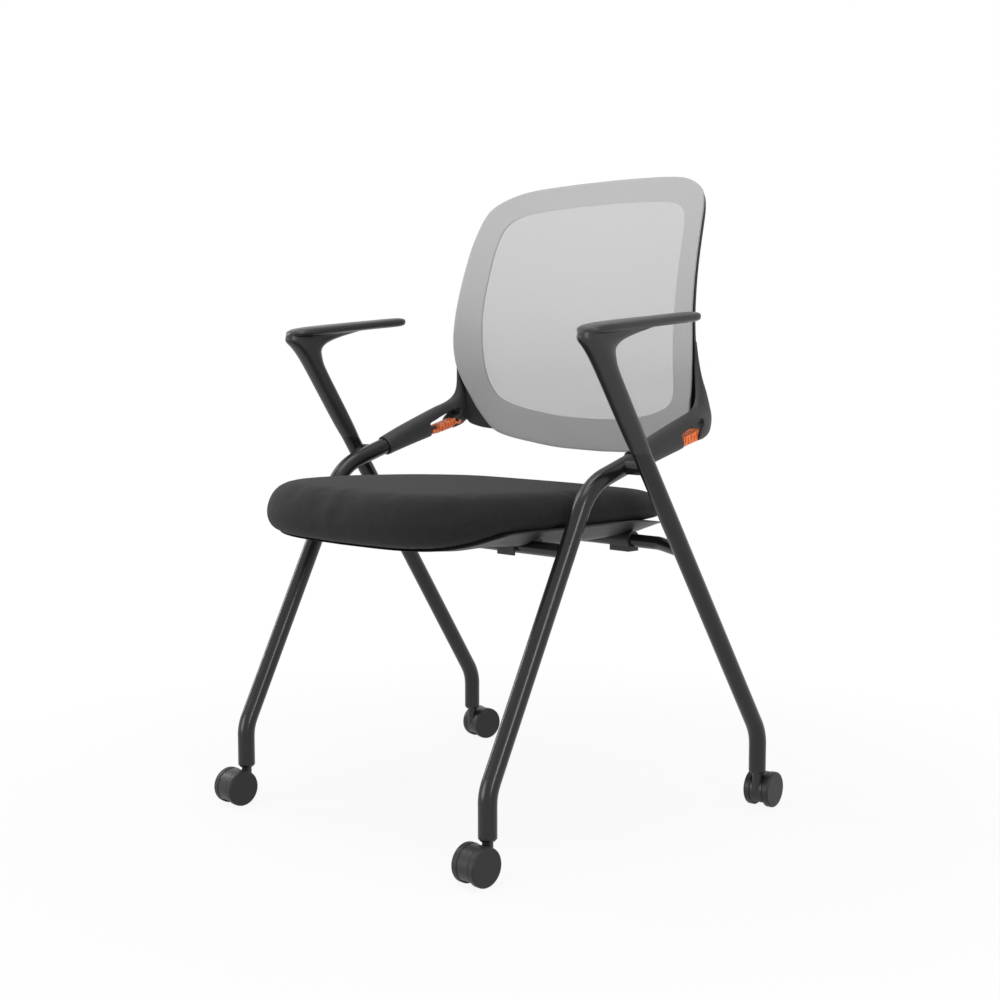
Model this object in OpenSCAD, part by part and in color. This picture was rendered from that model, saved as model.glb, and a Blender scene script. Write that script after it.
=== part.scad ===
// Nesting chair: tubular steel legs on casters, a tip-up seat, cantilevered
// armrests and a mesh back on two flexing brackets.
// The chair faces -Y, X runs from side to side, and the floor is at z = 0.

/* [Leg tubes] */
// Outside diameter of the four leg tubes
tube_d = 24; // [20:0.5:27]
// Wall thickness of the leg tubes
tube_wall = 1.5; // [1:0.25:2.5]
// Height of the lower tube ends above the floor
tube_foot_z = 54; // [52:1:70]
// Height of the bend above each caster
knee_z = 109; // [95:1:130]
// Gap between the cushion's side and a front leg
leg_seat_gap = 11; // [8:0.5:16]
// Distance sideways from a front leg to the rear leg beside it
leg_side_gap = 43; // [36:1:55]
// Place of the front feet, forward being negative
front_foot_y = -242; // [-262:1:-222]
// Place of the rear feet
rear_foot_y = 245.5; // [226:0.5:266]
// Place of the shoulder, where a front leg turns back towards the backrest
shoulder_y = -62.5; // [-75:0.5:-50]
// Height of the shoulder
shoulder_z = 471; // [465:1:485]
// Rise of the run behind the shoulder, in degrees
back_run_angle = 18; // [16:0.5:20]
// Length of the run behind the shoulder
back_run_length = 150; // [135:1:165]
// Lean of the rear legs from the vertical, in degrees
rear_lean = 32.4; // [31:0.1:34]
// Height of the upper end of a rear leg, inside the armrest
rear_leg_top_z = 624; // [600:1:635]
// Radius of the bend above each caster
knee_r = 60; // [45:1:80]
// Radius of the shoulder bend
shoulder_r = 80; // [60:1:95]
// Diameter of the stub that joins a front leg to a rear leg
spacer_d = 18; // [14:0.5:20]

/* [Crossbars] */
// Outside diameter of both crossbars
bar_d = 18; // [14:0.5:20]
// Wall thickness of both crossbars
bar_wall = 1.5; // [1:0.25:2.5]
// Height of the front crossbar's axis
front_bar_z = 391; // [388:0.5:394]
// Height of the rear crossbar's axis, about which the seat tips
rear_bar_z = 385; // [383:0.5:388]
// Distance of the rear crossbar's middle run behind its ends
rear_bar_set = 14; // [8:0.5:20]
// Drop of the rear crossbar's ends
rear_bar_drop = 5; // [2:0.5:8]
// Distance of the rear crossbar's bends inside the axis of a front leg
rear_bar_bend_set = 7; // [4:0.5:12]
// Radius of the two bends in the rear crossbar
rear_bar_bend_r = 40; // [30:1:60]

/* [Seat] */
// Width of the cushion
seat_w = 448; // [430:1:452]
// Depth of the cushion from front to back
seat_depth = 480; // [465:1:495]
// Place of the cushion's rear edge
seat_rear_y = 188; // [180:1:195]
// Height of the seam between cushion and shell
seam_z = 417; // [415:0.5:420]
// Drop of the seam where the front edge rolls down
seam_drop = 24; // [14:0.5:28]
// Height of the cushion above its seam, in the middle
cushion_h = 53; // [46:0.5:58]
// Height of the crown above the cushion's flat rim
cushion_crown = 6; // [3:0.5:10]
// Drop of the cushion's top towards the rear edge
cushion_rear_fall = 20; // [12:0.5:24]
// Depth of the shell under the seam
shell_depth = 29; // [26:0.5:31]
// Wall of the shell between its pockets
shell_wall = 4; // [3:0.5:6]
// Thickness of the plywood board inside the cushion
board_t = 9; // [7:0.5:12]

/* [Armrests] */
// Length of an arm pad
pad_length = 222; // [205:1:240]
// Place of the front end of an arm pad
pad_front_y = -125; // [-135:1:-118]
// Width of an arm pad at its widest
pad_w = 45; // [38:1:52]
// Height of an arm pad's top at its front end
pad_top_z = 675; // [668:1:685]
// Rise of an arm pad from front to back
pad_rise = 19; // [10:1:26]
// Thickness of an arm pad's rim
pad_t = 15; // [12:0.5:18]
// Wall of the armrest's sleeve round the leg tube, at its lower end
arm_wall = 0.8; // [0.6:0.1:1.6]
// Height of the lower end of the armrest's sleeve
arm_sleeve_z = 512; // [508:1:525]
// Depth of the armrest's neck under the pad
arm_neck_h = 66; // [55:1:75]

/* [Back panel] */
// Distance of the panel's widest edge inside the axis of a front leg
panel_side_set = 12; // [10:0.5:16]
// Height of the panel's lower edge
panel_low_z = 500; // [496:1:506]
// Height of the panel from lower to upper edge
panel_h = 394; // [380:1:410]
// Place of the panel's middle at its waist, where it stands furthest forward
panel_y = 205; // [202:0.5:208]
// Distance that the panel's upper edge leans back behind its waist
panel_lean = 57; // [52:1:62]
// Depth by which the panel's side edges stand forward of its middle
panel_dish = 50; // [46:1:54]
// Thickness of the stretched mesh
mesh_t = 1.6; // [1:0.1:2.5]
// Thickness of the carrier ring
carrier_t = 4; // [3:0.5:6]
// Width of the black back frame's ring
rim_w = 26; // [20:1:32]
// Thickness of the black back frame's ring
rim_t = 8; // [6:0.5:10]
// Distance that the lower half of the frame stands off behind the carrier
rim_stand_off = 6; // [4:0.5:8]

/* [Back brackets] */
// Outside diameter of the sleeve where the tube enters it
sleeve_d = 29.6; // [28:0.2:32]
// Length along the tube from the sleeve's mouth to the corner
sleeve_length = 125; // [120:1:130]
// Distance behind the shoulder where the sleeve starts, along the tube
sleeve_start = 88; // [84:1:92]
// Width of the bracket at its corner
bracket_w = 27; // [25:0.5:29]
// Depth of the bracket at its corner
bracket_depth = 42; // [39:0.5:44]
// Radius of the flexing knuckle over the slot
knuckle_r = 7; // [6.4:0.1:7.4]
// Thickness of the tongue over the spring's front bead
tongue_t = 4; // [3:0.25:4.5]
// Diameter of the bead at the spring's rear end
bead_d = 7.6; // [6.5:0.1:8]
// Thickness of the orange spring
spring_t = 15; // [13:0.5:16]
// Width of the orange spring across the bracket
spring_w = 18; // [15:0.5:20]

/* [Casters] */
// Wheel diameter
wheel_d = 50; // [46:0.5:51]
// Width of one wheel
wheel_w = 9.6; // [8:0.2:12]
// Radius of the rounded rim of a wheel
wheel_edge_r = 2.6; // [1.5:0.1:3.5]
// Width of the hood between the two wheels
hood_w = 18; // [15:0.5:22]
// Distance from the swivel axis back to the axle
caster_trail = 19; // [17:0.5:21]
// Diameter of the steel stem
stem_d = 8; // [7:0.5:10]
// Length of the stem inside its socket
stem_grip = 32; // [25:1:40]
// Diameter of the axle
axle_d = 6; // [5:0.5:7]
// Angle by which the rear casters have swung round, in degrees
rear_heading = 8; // [-20:1:20]

/* [Hidden] */

$fn = 48;
over = 1;
seat_gap = 0.3;
run_gap = 0.05;
press_gap = 0.2;

black_steel = [0.16, 0.16, 0.17];
black_plastic = [0.19, 0.19, 0.2];
seat_fabric = [0.12, 0.12, 0.12];
mesh_grey = [0.7, 0.7, 0.71];
spring_orange = [0.88, 0.38, 0.18];
bright_steel = [0.7, 0.71, 0.73];
plywood = [0.72, 0.56, 0.38];

front_leg_x = seat_w / 2 + leg_seat_gap + tube_d / 2;
rear_leg_x = front_leg_x + leg_side_gap;
panel_half_w = front_leg_x - panel_side_set;
rear_bar_half_run = front_leg_x - rear_bar_bend_set;
front_lean = atan((shoulder_y - front_foot_y) / (shoulder_z - knee_z));

function front_leg_y(z) = front_foot_y + (z - knee_z) * tan(front_lean);
function rear_leg_y(z) = rear_foot_y - (z - knee_z) * tan(rear_lean);
function back_run_z(y) = shoulder_z + (y - shoulder_y) * tan(back_run_angle);

front_path = [
    [front_foot_y, tube_foot_z],
    [front_foot_y, knee_z],
    [shoulder_y, shoulder_z],
    [shoulder_y, shoulder_z] + back_run_length * [cos(back_run_angle), sin(back_run_angle)]
];
rear_path = [
    [rear_foot_y, tube_foot_z],
    [rear_foot_y, knee_z],
    [rear_leg_y(rear_leg_top_z), rear_leg_top_z]
];

// The legs cross, seen from the side, where the spacer joins them
crossing_y = (rear_foot_y + (knee_z - shoulder_z + shoulder_y * tan(back_run_angle)) * tan(rear_lean))
    / (1 + tan(back_run_angle) * tan(rear_lean));
crossing_z = back_run_z(crossing_y);

front_bar_y = front_leg_y(front_bar_z);
rear_bar_end_z = rear_bar_z - rear_bar_drop;
rear_bar_y = rear_leg_y(rear_bar_end_z) + rear_bar_set;

// Curves through chosen points

function between(a, b, t) = a + (b - a) * t;

function curve_point(a, b, c, d, t) =
    (2 * b + (c - a) * t + (2 * a - 5 * b + 4 * c - d) * t * t
    + (3 * b - a - 3 * c + d) * t * t * t) / 2;

function smooth_line(points, steps) = let (last = len(points) - 1) [
    for (i = [0:last - 1], s = [0:steps - 1])
        curve_point(points[max(i - 1, 0)], points[i], points[i + 1], points[min(i + 2, last)], s / steps),
    points[last]
];

function mirrored_loop(half) = concat(
    half,
    [for (i = [len(half) - 2:-1:1]) [-half[i][0], half[i][1]]]
);

function table_value(table, x, i = 0) =
    i >= len(table) - 2 || x < table[i + 1][0]
        ? between(table[i][1], table[i + 1][1], (x - table[i][0]) / (table[i + 1][0] - table[i][0]))
        : table_value(table, x, i + 1);

function squared_ring(half_x, half_y, power, count) = [
    for (i = [0:count - 1]) let (a = 360 * i / count) [
        half_x * sign(cos(a)) * pow(abs(cos(a)), 2 / power),
        half_y * sign(sin(a)) * pow(abs(sin(a)), 2 / power)
    ]
];

function ring_middle(ring) = [for (k = [0:2]) [for (p = ring) p[k]] * [for (p = ring) 1] / len(ring)];
function ring_turn(ring) = let (middle = ring_middle(ring), last = len(ring) - 1)
    [for (p = ring) 1] * [
        for (j = [0:last]) cross(ring[j] - middle, ring[j == last ? 0 : j + 1] - middle)
    ];

// A skin over a row of rings with equal counts of points; looped joins the last ring to the first
module skin(rings, looped = false) {
    count = len(rings[0]);
    last = len(rings) - 1;
    travel = ring_middle(rings[looped ? 1 : last]) - ring_middle(rings[0]);
    even = ring_turn(rings[0]) * travel > 0
        ? rings
        : [for (ring = rings) [for (j = [count - 1:-1:0]) ring[j]]];
    sides = [
        for (i = [0:looped ? last : last - 1], j = [0:count - 1]) let (
            a = i * count + j,
            b = i * count + (j + 1) % count,
            c = (i + 1) % len(rings) * count + (j + 1) % count,
            d = (i + 1) % len(rings) * count + j
        ) each [[a, c, b], [a, d, c]]
    ];
    first_hub = len(rings) * count;
    caps = looped ? [] : [
        for (j = [0:count - 1]) let (k = (j + 1) % count)
            each [[first_hub, j, k], [first_hub + 1, last * count + k, last * count + j]]
    ];
    hubs = looped ? [] : [ring_middle(even[0]), ring_middle(even[last])];
    polyhedron(points = concat([for (ring = even) each ring], hubs), faces = concat(sides, caps));
}

// Turns a drawing of (y, z) points, with its thickness along x, into place
module side_plane() {
    rotate([90, 0, 90]) children();
}

module side_slab(width) {
    side_plane() linear_extrude(width, center = true) children();
}

// A left and a right copy; the right side is -X
module place_side(side) {
    if (side > 0) children();
    else mirror([1, 0, 0]) children();
}

// Bent tubes

function direction(a, b) = (b - a) / norm(b - a);
function turn_at(a, b, c) = acos(direction(a, b) * direction(b, c));
function turns_left(a, b, c) = cross(b - a, c - b) > 0;
function tangent_at(points, radii, i) =
    i == 0 || i == len(points) - 1 ? 0
    : radii[i - 1] * tan(turn_at(points[i - 1], points[i], points[i + 1]) / 2);

// A bend is a hair fuller than the straight runs, which reach a little way into it
bend_swell = 0.2;
bend_lap = 1.2;
module tube_bend(a, b, c, bend_r, d) {
    turn = turn_at(a, b, c);
    to_a = direction(b, a);
    to_c = direction(b, c);
    centre = b + (to_a + to_c) / norm(to_a + to_c) * bend_r / cos(turn / 2);
    start = b + (turns_left(a, b, c) ? to_a : to_c) * bend_r * tan(turn / 2) - centre;
    translate([centre[0], centre[1], 0])
        rotate([0, 0, atan2(start[1], start[0])])
            rotate_extrude(angle = turn)
                translate([bend_r, 0]) circle(d = d + bend_swell);
}

module tube_run(a, b, d) {
    translate([a[0], a[1], 0])
        rotate([0, 0, atan2(b[1] - a[1], b[0] - a[0])])
            rotate([0, 90, 0])
                cylinder(h = norm(b - a), d = d);
}

module tube_solid(points, radii, d) {
    last = len(points) - 1;
    for (i = [0:last - 1]) {
        along = direction(points[i], points[i + 1]);
        tube_run(
            points[i] + along * (tangent_at(points, radii, i) - (i == 0 ? 0 : bend_lap)),
            points[i + 1] - along * (tangent_at(points, radii, i + 1) - (i == last - 1 ? 0 : bend_lap)),
            d
        );
    }
    for (i = [1:last - 1])
        tube_bend(points[i - 1], points[i], points[i + 1], radii[i - 1], d);
}

function lengthened(points) = let (last = len(points) - 1) [
    for (i = [0:last])
        i == 0 ? points[0] - over * direction(points[0], points[1])
        : i == last ? points[last] + over * direction(points[last - 1], points[last])
        : points[i]
];

module bent_tube(points, radii, d, wall) {
    difference() {
        tube_solid(points, radii, d);
        tube_solid(lengthened(points), radii, d - 2 * wall);
    }
}

module front_leg_solid() {
    translate([front_leg_x, 0, 0]) side_plane() tube_solid(front_path, [knee_r, shoulder_r], tube_d);
}

module rear_leg_solid() {
    translate([rear_leg_x, 0, 0]) side_plane() tube_solid(rear_path, [knee_r], tube_d);
}

module front_leg() {
    color(black_steel)
        translate([front_leg_x, 0, 0])
            side_plane() bent_tube(front_path, [knee_r, shoulder_r], tube_d, tube_wall);
}

module rear_leg() {
    color(black_steel)
        translate([rear_leg_x, 0, 0])
            side_plane() bent_tube(rear_path, [knee_r], tube_d, tube_wall);
}

module leg_spacer() {
    color(black_steel) difference() {
        translate([front_leg_x, crossing_y, crossing_z])
            rotate([0, 90, 0]) cylinder(h = leg_side_gap, d = spacer_d);
        front_leg_solid();
        rear_leg_solid();
    }
}

module front_crossbar() {
    color(black_steel) difference() {
        translate([-front_leg_x, front_bar_y, front_bar_z])
            rotate([0, 90, 0]) cylinder(h = 2 * front_leg_x, d = bar_d);
        translate([-rear_leg_x, front_bar_y, front_bar_z])
            rotate([0, 90, 0]) cylinder(h = 2 * rear_leg_x, d = bar_d - 2 * bar_wall);
        for (side = [1, -1]) place_side(side) front_leg_solid();
    }
}

// The rear crossbar lies in a plane that tilts from its middle run down to its ends
rear_bar_tilt = atan2(rear_bar_drop, rear_bar_set);
rear_bar_bow = norm([rear_bar_set, rear_bar_drop]);
rear_bar_path = [
    [-rear_leg_x, -rear_bar_bow],
    [-rear_bar_half_run, 0],
    [rear_bar_half_run, 0],
    [rear_leg_x, -rear_bar_bow]
];
module rear_crossbar() {
    color(black_steel) difference() {
        translate([0, rear_bar_y, rear_bar_z])
            rotate([rear_bar_tilt, 0, 0])
                bent_tube(rear_bar_path, [rear_bar_bend_r, rear_bar_bend_r], bar_d, bar_wall);
        for (side = [1, -1]) place_side(side) rear_leg_solid();
    }
}

// Armrests

// Shares along the pad: place, half width, height of its lower face above that of the middle
pad_shares = [
    [0, 0.2, 0.42], [0.02, 0.52, 0.24], [0.07, 0.82, 0.08], [0.16, 0.98, 0],
    [0.3, 1, 0], [0.5, 0.94, 0.06], [0.7, 0.84, 0.14], [0.86, 0.74, 0.22],
    [0.95, 0.62, 0.3], [0.985, 0.4, 0.4], [1, 0.16, 0.52]
];
// Shares of the drop of the pad's top at its two ends
pad_end_shares = [[0, 0.5], [0.02, 0.3], [0.07, 0.12], [0.16, 0.03], [0.3, 0], [0.86, 0], [0.95, 0.08],
    [0.985, 0.24], [1, 0.42]];

module arm_pad() {
    skin([
        for (row = pad_shares) let (
            top = pad_top_z + pad_rise * row[0] - pad_t * table_value(pad_end_shares, row[0]),
            low = pad_top_z + pad_rise * row[0] - pad_t * (1 - row[2])
        ) [
            for (p = squared_ring(pad_w / 2 * row[1], (top - low) / 2, 3, 20))
                [rear_leg_x - p[0], pad_front_y + pad_length * row[0], (top + low) / 2 + p[1]]
        ]
    ]);
}

arm_top_z = pad_top_z - pad_t / 2;
arm_taper_z = arm_top_z - arm_neck_h;
leg_slant = 1 / cos(rear_lean);
// Rows up the neck: share of its height, forward and rear reach as shares of the pad's
// length, half width as a share of the pad's width, and tilt as a share of the pad's slope
neck_shares = [
    [0, 0.073, 0.073, 0.3, 0], [0.3, 0.075, 0.078, 0.31, 0], [0.5, 0.08, 0.1, 0.315, 0.1],
    [0.62, 0.088, 0.122, 0.315, 0.25], [0.71, 0.097, 0.165, 0.31, 0.45], [0.78, 0.107, 0.235, 0.3, 0.65],
    [0.84, 0.113, 0.35, 0.29, 0.8], [0.89, 0.111, 0.5, 0.28, 0.9], [0.94, 0.1, 0.65, 0.26, 1],
    [0.99, 0.086, 0.76, 0.24, 1.05]
];

function neck_ring(row) = let (
    z = arm_taper_z + arm_neck_h * row[0],
    fore = -pad_length * row[1],
    aft = pad_length * row[2],
    slope = row[4] * pad_rise / pad_length * 1.3
) [
    for (p = squared_ring(pad_w * row[3], 1, 2.2, 20)) let (y = p[1] < 0 ? -p[1] * fore : p[1] * aft)
        [rear_leg_x + p[0], rear_leg_y(z) + y, z + slope * y]
];

arm_sleeve_r = tube_d / 2 + arm_wall;
module armrest() {
    color(black_plastic) difference() {
        union() {
            arm_pad();
            skin(concat(
                [[
                    for (p = squared_ring(arm_sleeve_r, arm_sleeve_r * leg_slant, 2, 20))
                        [rear_leg_x + p[0], rear_leg_y(arm_sleeve_z) + p[1], arm_sleeve_z]
                ]],
                [for (row = neck_shares) neck_ring(row)]
            ));
        }
        rear_leg_solid();
    }
}

// Back panel surface and outline

// Rows up the panel: share of its height, place behind the waist as a share of its lean
lean_shares = [[0, 0.54], [0.08, 0.41], [0.15, 0.28], [0.2, 0.2], [0.25, 0.115], [0.31, 0.035], [0.4, 0],
    [0.5, 0.03], [0.62, 0.17], [0.75, 0.4], [0.85, 0.64], [0.92, 0.815], [1, 1]];
// Half outline of the panel from its lower middle to its upper middle: shares of half width and height
outline_shares = [
    [0, -0.024], [0.34, -0.017], [0.58, 0.004], [0.74, 0.026], [0.825, 0.055], [0.89, 0.118], [0.93, 0.176],
    [0.968, 0.24], [0.997, 0.315], [1.006, 0.4], [0.995, 0.51], [0.975, 0.65], [0.95, 0.79], [0.91, 0.892],
    [0.83, 0.942], [0.65, 0.981], [0.34, 0.998], [0, 1.003]
];
// The carrier's window, each row beside one of the panel's outline
window_shares = [
    [0, 0.102], [0.27, 0.107], [0.46, 0.123], [0.58, 0.139], [0.67, 0.157], [0.73, 0.178], [0.765, 0.207],
    [0.786, 0.245], [0.802, 0.31], [0.81, 0.4], [0.813, 0.51], [0.802, 0.64], [0.787, 0.76], [0.755, 0.838],
    [0.675, 0.878], [0.53, 0.897], [0.28, 0.908], [0, 0.912]
];
// The frame's own outer outline, which runs down to the brackets instead of round the lower corners
frame_shares = [
    [0, -0.012], [0.34, -0.006], [0.6, 0.016], [0.8, 0.038], [0.95, 0.046], [1.015, 0.09], [1.02, 0.18],
    [1.018, 0.3], [1.01, 0.4], [0.995, 0.51], [0.97, 0.65], [0.945, 0.79], [0.903, 0.88], [0.82, 0.93],
    [0.65, 0.971], [0.34, 0.988], [0, 0.993]
];

function panel_y_at(x, z) = panel_y + panel_lean * table_value(lean_shares, (z - panel_low_z) / panel_h)
    - panel_dish * pow(x / panel_half_w, 2);

function outline_points(shares, steps) = [
    for (p = mirrored_loop(smooth_line(shares, steps))) [p[0] * panel_half_w, panel_low_z + p[1] * panel_h]
];

panel_middle = [0, panel_low_z + panel_h * 0.48];
function pulled_in(p, reach) = let (away = p - panel_middle) p - away / norm(away) * reach;
function on_panel(p, depth) = [p[0], panel_y_at(p[0], p[1]) + depth, p[1]];

panel_outline = outline_points(outline_shares, 3);
window_outline = outline_points(window_shares, 3);
frame_outline = outline_points(frame_shares, 3);

// Rows across the carrier ring, as shares of the way from its outer edge to its window
carrier_rows = [0, 0.33, 0.66, 1];
carrier_outline = [for (p = panel_outline) pulled_in(p, panel_half_w * 0.008)];
function carrier_row(share) =
    [for (i = [0:len(carrier_outline) - 1]) between(carrier_outline[i], window_outline[i], share)];

module mesh_panel() {
    rows = concat(
        [panel_outline],
        [for (s = carrier_rows) carrier_row(s)],
        [[for (p = window_outline) between(p, panel_middle, 0.5)]]
    );
    last = len(rows) - 1;
    color(mesh_grey) skin([
        for (i = [last:-1:0]) [for (p = rows[i]) on_panel(p, 0)],
        for (i = [0:last]) [for (p = rows[i]) on_panel(p, mesh_t)]
    ]);
}

module mesh_carrier() {
    front = mesh_t + seat_gap / 2;
    back = front + carrier_t;
    rows = [for (s = carrier_rows) carrier_row(s)];
    color(mesh_grey)
        skin([
            for (i = [0:len(carrier_outline) - 1]) [
                for (row = rows) on_panel(row[i], front),
                on_panel(rows[3][i], between(front, back, 0.6)),
                on_panel(pulled_in(rows[3][i], -carrier_t), back),
                on_panel(rows[2][i], back),
                on_panel(rows[1][i], back),
                on_panel(pulled_in(rows[0][i], carrier_t), back),
                on_panel(rows[0][i], between(front, back, 0.5))
            ]
        ], looped = true);
}

// Share of the stand-off between frame and carrier, up the panel
stand_shares = [[0, 0.3], [0.08, 0.8], [0.15, 1], [0.24, 0.8], [0.3, 0.5], [0.37, 0.2], [0.46, 0], [1, 0]];
rim_gap = 3 * seat_gap;
rim_close = mesh_t + carrier_t + rim_gap;
function rim_depth_at(z) = rim_close + rim_stand_off * table_value(stand_shares, (z - panel_low_z) / panel_h);

module back_rim() {
    skin([
        for (p = frame_outline) let (
            front = rim_depth_at(p[1]),
            back = front + rim_t,
            inner = pulled_in(p, rim_w)
        ) [
            on_panel(p, front),
            on_panel(inner, rim_close),
            on_panel(inner, between(front, back, 0.7)),
            on_panel(pulled_in(inner, -rim_t / 2), back),
            on_panel(pulled_in(p, rim_t), back),
            on_panel(p, between(front, back, 0.45))
        ]
    ], looped = true);
}

// Back brackets

run_direction = [cos(back_run_angle), sin(back_run_angle)];
sleeve_mouth = [shoulder_y, shoulder_z] + sleeve_start * run_direction;
mouth_share = sleeve_d / 2 / bracket_depth;
// Sections along the bracket, from the mouth of the sleeve to the top of the upright. Each has its
// upper and its lower end, along the tube as a share of the sleeve's length and above the tube as a
// share of the bracket's depth, then half its width and its distance inwards as shares of the
// bracket's width, and its squareness
bracket_shares = [
    [0, mouth_share, 0, -mouth_share, sleeve_d / 2 / bracket_w, 0, 2],
    [0.3, 0.423, 0.3, -0.375, 0.53, 0, 2.2],
    [0.679, 0.473, 0.683, -0.426, 0.505, 0, 2.5],
    [0.95, 0.503, 0.969, -0.491, 0.49, 0, 2.4],
    [1.098, 0.515, 1.152, -0.53, 0.467, 0.038, 2.1],
    [1.179, 0.565, 1.288, -0.512, 0.413, 0.117, 2],
    [1.243, 0.67, 1.385, -0.354, 0.335, 0.205, 2],
    [1.285, 0.807, 1.445, -0.101, 0.279, 0.261, 2],
    [1.313, 0.979, 1.465, 0.256, 0.233, 0.307, 2],
    [1.338, 1.205, 1.469, 0.714, 0.191, 0.339, 2],
    [1.367, 1.503, 1.451, 1.247, 0.168, 0.372, 2],
    [1.408, 1.938, 1.454, 1.818, 0.144, 0.396, 2],
    [1.456, 2.5, 1.49, 2.46, 0.11, 0.43, 2]
];

// A point of the side view, given along and above the tube from the sleeve's mouth
function bracket_point(along, above) = sleeve_mouth + along * sleeve_length * run_direction
    + above * bracket_depth * [-run_direction[1], run_direction[0]];

function bracket_ring(row) = let (
    upper = bracket_point(row[0], row[1]),
    lower = bracket_point(row[2], row[3]),
    middle = (upper + lower) / 2,
    reach = (upper - lower) / 2
) [
    for (p = squared_ring(bracket_w * row[4], 1, row[6], 24))
        [front_leg_x - bracket_w * row[5] + p[0], middle[0] + reach[0] * p[1], middle[1] + reach[1] * p[1]]
];

module bracket_solid() {
    skin([for (row = smooth_line(bracket_shares, 2)) bracket_ring(row)]);
}

hinge_at = bracket_point(1.131, 0.354);
tongue_at = bracket_point(0.803, -0.182);
bead_at = bracket_point(1.204, -0.357);

// The spring starts at the bracket's inner face, and the bracket's outer skin covers its rear end
inner_x = front_leg_x - bracket_w * 0.44;
skin_x = inner_x + spring_w + seat_gap;

module side_disc(at, r) {
    translate([at[0], at[1]]) circle(r = r);
}

slot_roof_angle = back_run_angle + 97;
under_hinge = hinge_at - knuckle_r * 0.9 * [cos(slot_roof_angle), sin(slot_roof_angle)];
// The slot under the knuckle, open to the underside
slot_outline = [
    bracket_point(0.7, -0.735), bracket_point(0.72, -0.387), bracket_point(0.708, 0.039),
    bracket_point(0.716, 0.107), under_hinge,
    bracket_point(1.168, 0.155), bracket_point(1.213, 0.188),
    bracket_point(1.245, 0.131), bracket_point(1.241, 0.021),
    bracket_point(1.196, -0.086), bracket_point(1.166, -0.205),
    bracket_point(1.092, -0.887)
];
// The slot is shorter in the bracket's outer wall, which covers the rear end of the spring
outer_slot_outline = [
    bracket_point(0.79, -0.735), bracket_point(0.768, -0.298), bracket_point(0.735, 0.015),
    bracket_point(0.745, 0.098), under_hinge,
    bracket_point(1.155, 0.179), bracket_point(1.176, 0.113),
    bracket_point(1.15, -0.024), bracket_point(1.104, -0.077),
    bracket_point(1.082, -0.134), bracket_point(1.057, -0.238),
    bracket_point(1, -0.735)
];

module slot() {
    reach = 2 * bracket_w;
    translate([skin_x - reach, 0, 0]) side_plane() linear_extrude(reach) polygon(slot_outline);
    translate([skin_x - over, 0, 0]) side_plane() linear_extrude(reach) polygon(outer_slot_outline);
}

// The part of the side view that belongs to the sleeve: all in front of the knuckle
parting_angle = 112;
module sleeve_zone(extra) {
    translate([front_leg_x, 0, 0]) side_slab(3 * bracket_w) {
        polygon([
            bracket_point(-0.2, -1.19), bracket_point(0.9, -1.19), hinge_at,
            hinge_at + bracket_depth * [cos(parting_angle), sin(parting_angle)], bracket_point(-0.2, 1.488)
        ]);
        side_disc(hinge_at, knuckle_r + extra);
    }
}

// Places in the side view along and above the spring's axis, from the tongue to the bead
module on_spring() {
    translate([tongue_at[0], tongue_at[1]]) rotate(spring_angle) children();
}

// The tongue on the slot's front wall, over the spring's front bead
module spring_tongue() {
    spring_slab(spring_w) {
        translate([-tongue_t / 2, tongue_rise]) circle(d = tongue_t);
        translate([-4 * tongue_t, tongue_rise - tongue_t / 2]) square([3.5 * tongue_t, tongue_t]);
    }
}

// The keyhole in the slot's rear wall that holds the spring's rear bead, open on the inner face
module bead_seat() {
    reach = 2 * bracket_w;
    translate([inner_x + bead_w + seat_gap - reach, 0, 0]) side_plane() linear_extrude(reach) {
        side_disc(bead_at, bead_d / 2 + seat_gap);
        translate([bead_at[0], bead_at[1]]) rotate(spring_angle)
            translate([-bead_d * 1.3, -neck_t / 2 - seat_gap])
                square([bead_d * 1.3, neck_t + 2 * seat_gap]);
    }
}

module sleeve_bore() {
    translate([front_leg_x, 0, 0]) side_plane()
        tube_run(front_path[2], front_path[3] + press_gap * run_direction, tube_d);
}

module back_sleeve() {
    color(black_plastic) {
        difference() {
            intersection() {
                bracket_solid();
                sleeve_zone(0);
            }
            slot();
            sleeve_bore();
        }
        spring_tongue();
    }
}

module back_frame() {
    color(black_plastic) {
        difference() {
            back_rim();
            at_back_screws() cylinder(h = rim_t, d = 2 * screw_d + 2 * seat_gap);
        }
        for (side = [1, -1]) place_side(side) {
            difference() {
                bracket_solid();
                sleeve_zone(seat_gap);
                slot();
                bead_seat();
            }
        }
    }
}

// The spring is a block of folds that hangs between a front bead and a rear bead
spring_run = bead_at - tongue_at;
spring_span = norm(spring_run);
spring_angle = atan2(spring_run[1], spring_run[0]);
neck_t = bead_d * 0.45;
tongue_rise = tongue_t * 0.4;
// Corners of the block along and above the spring's axis: shares of its length and of its thickness
block_shares = [[0.05, 0.27], [0.81, 0.53], [0.79, -0.4], [0.03, -0.58]];
block_corners = [for (s = block_shares) [s[0] * spring_span, s[1] * spring_t]];
front_bead = [-0.1 * spring_span, -0.32 * spring_t];
fold_count = 6;
// A point in the block: share of its length and share of its thickness from the underside
function in_block(along, up) = between(
    between(block_corners[3], block_corners[2], along),
    between(block_corners[0], block_corners[1], along), up
);
bead_w = spring_w * 0.45;
module spring_slab(width) {
    translate([inner_x + width / 2, 0, 0]) side_slab(width) on_spring() children();
}

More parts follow.
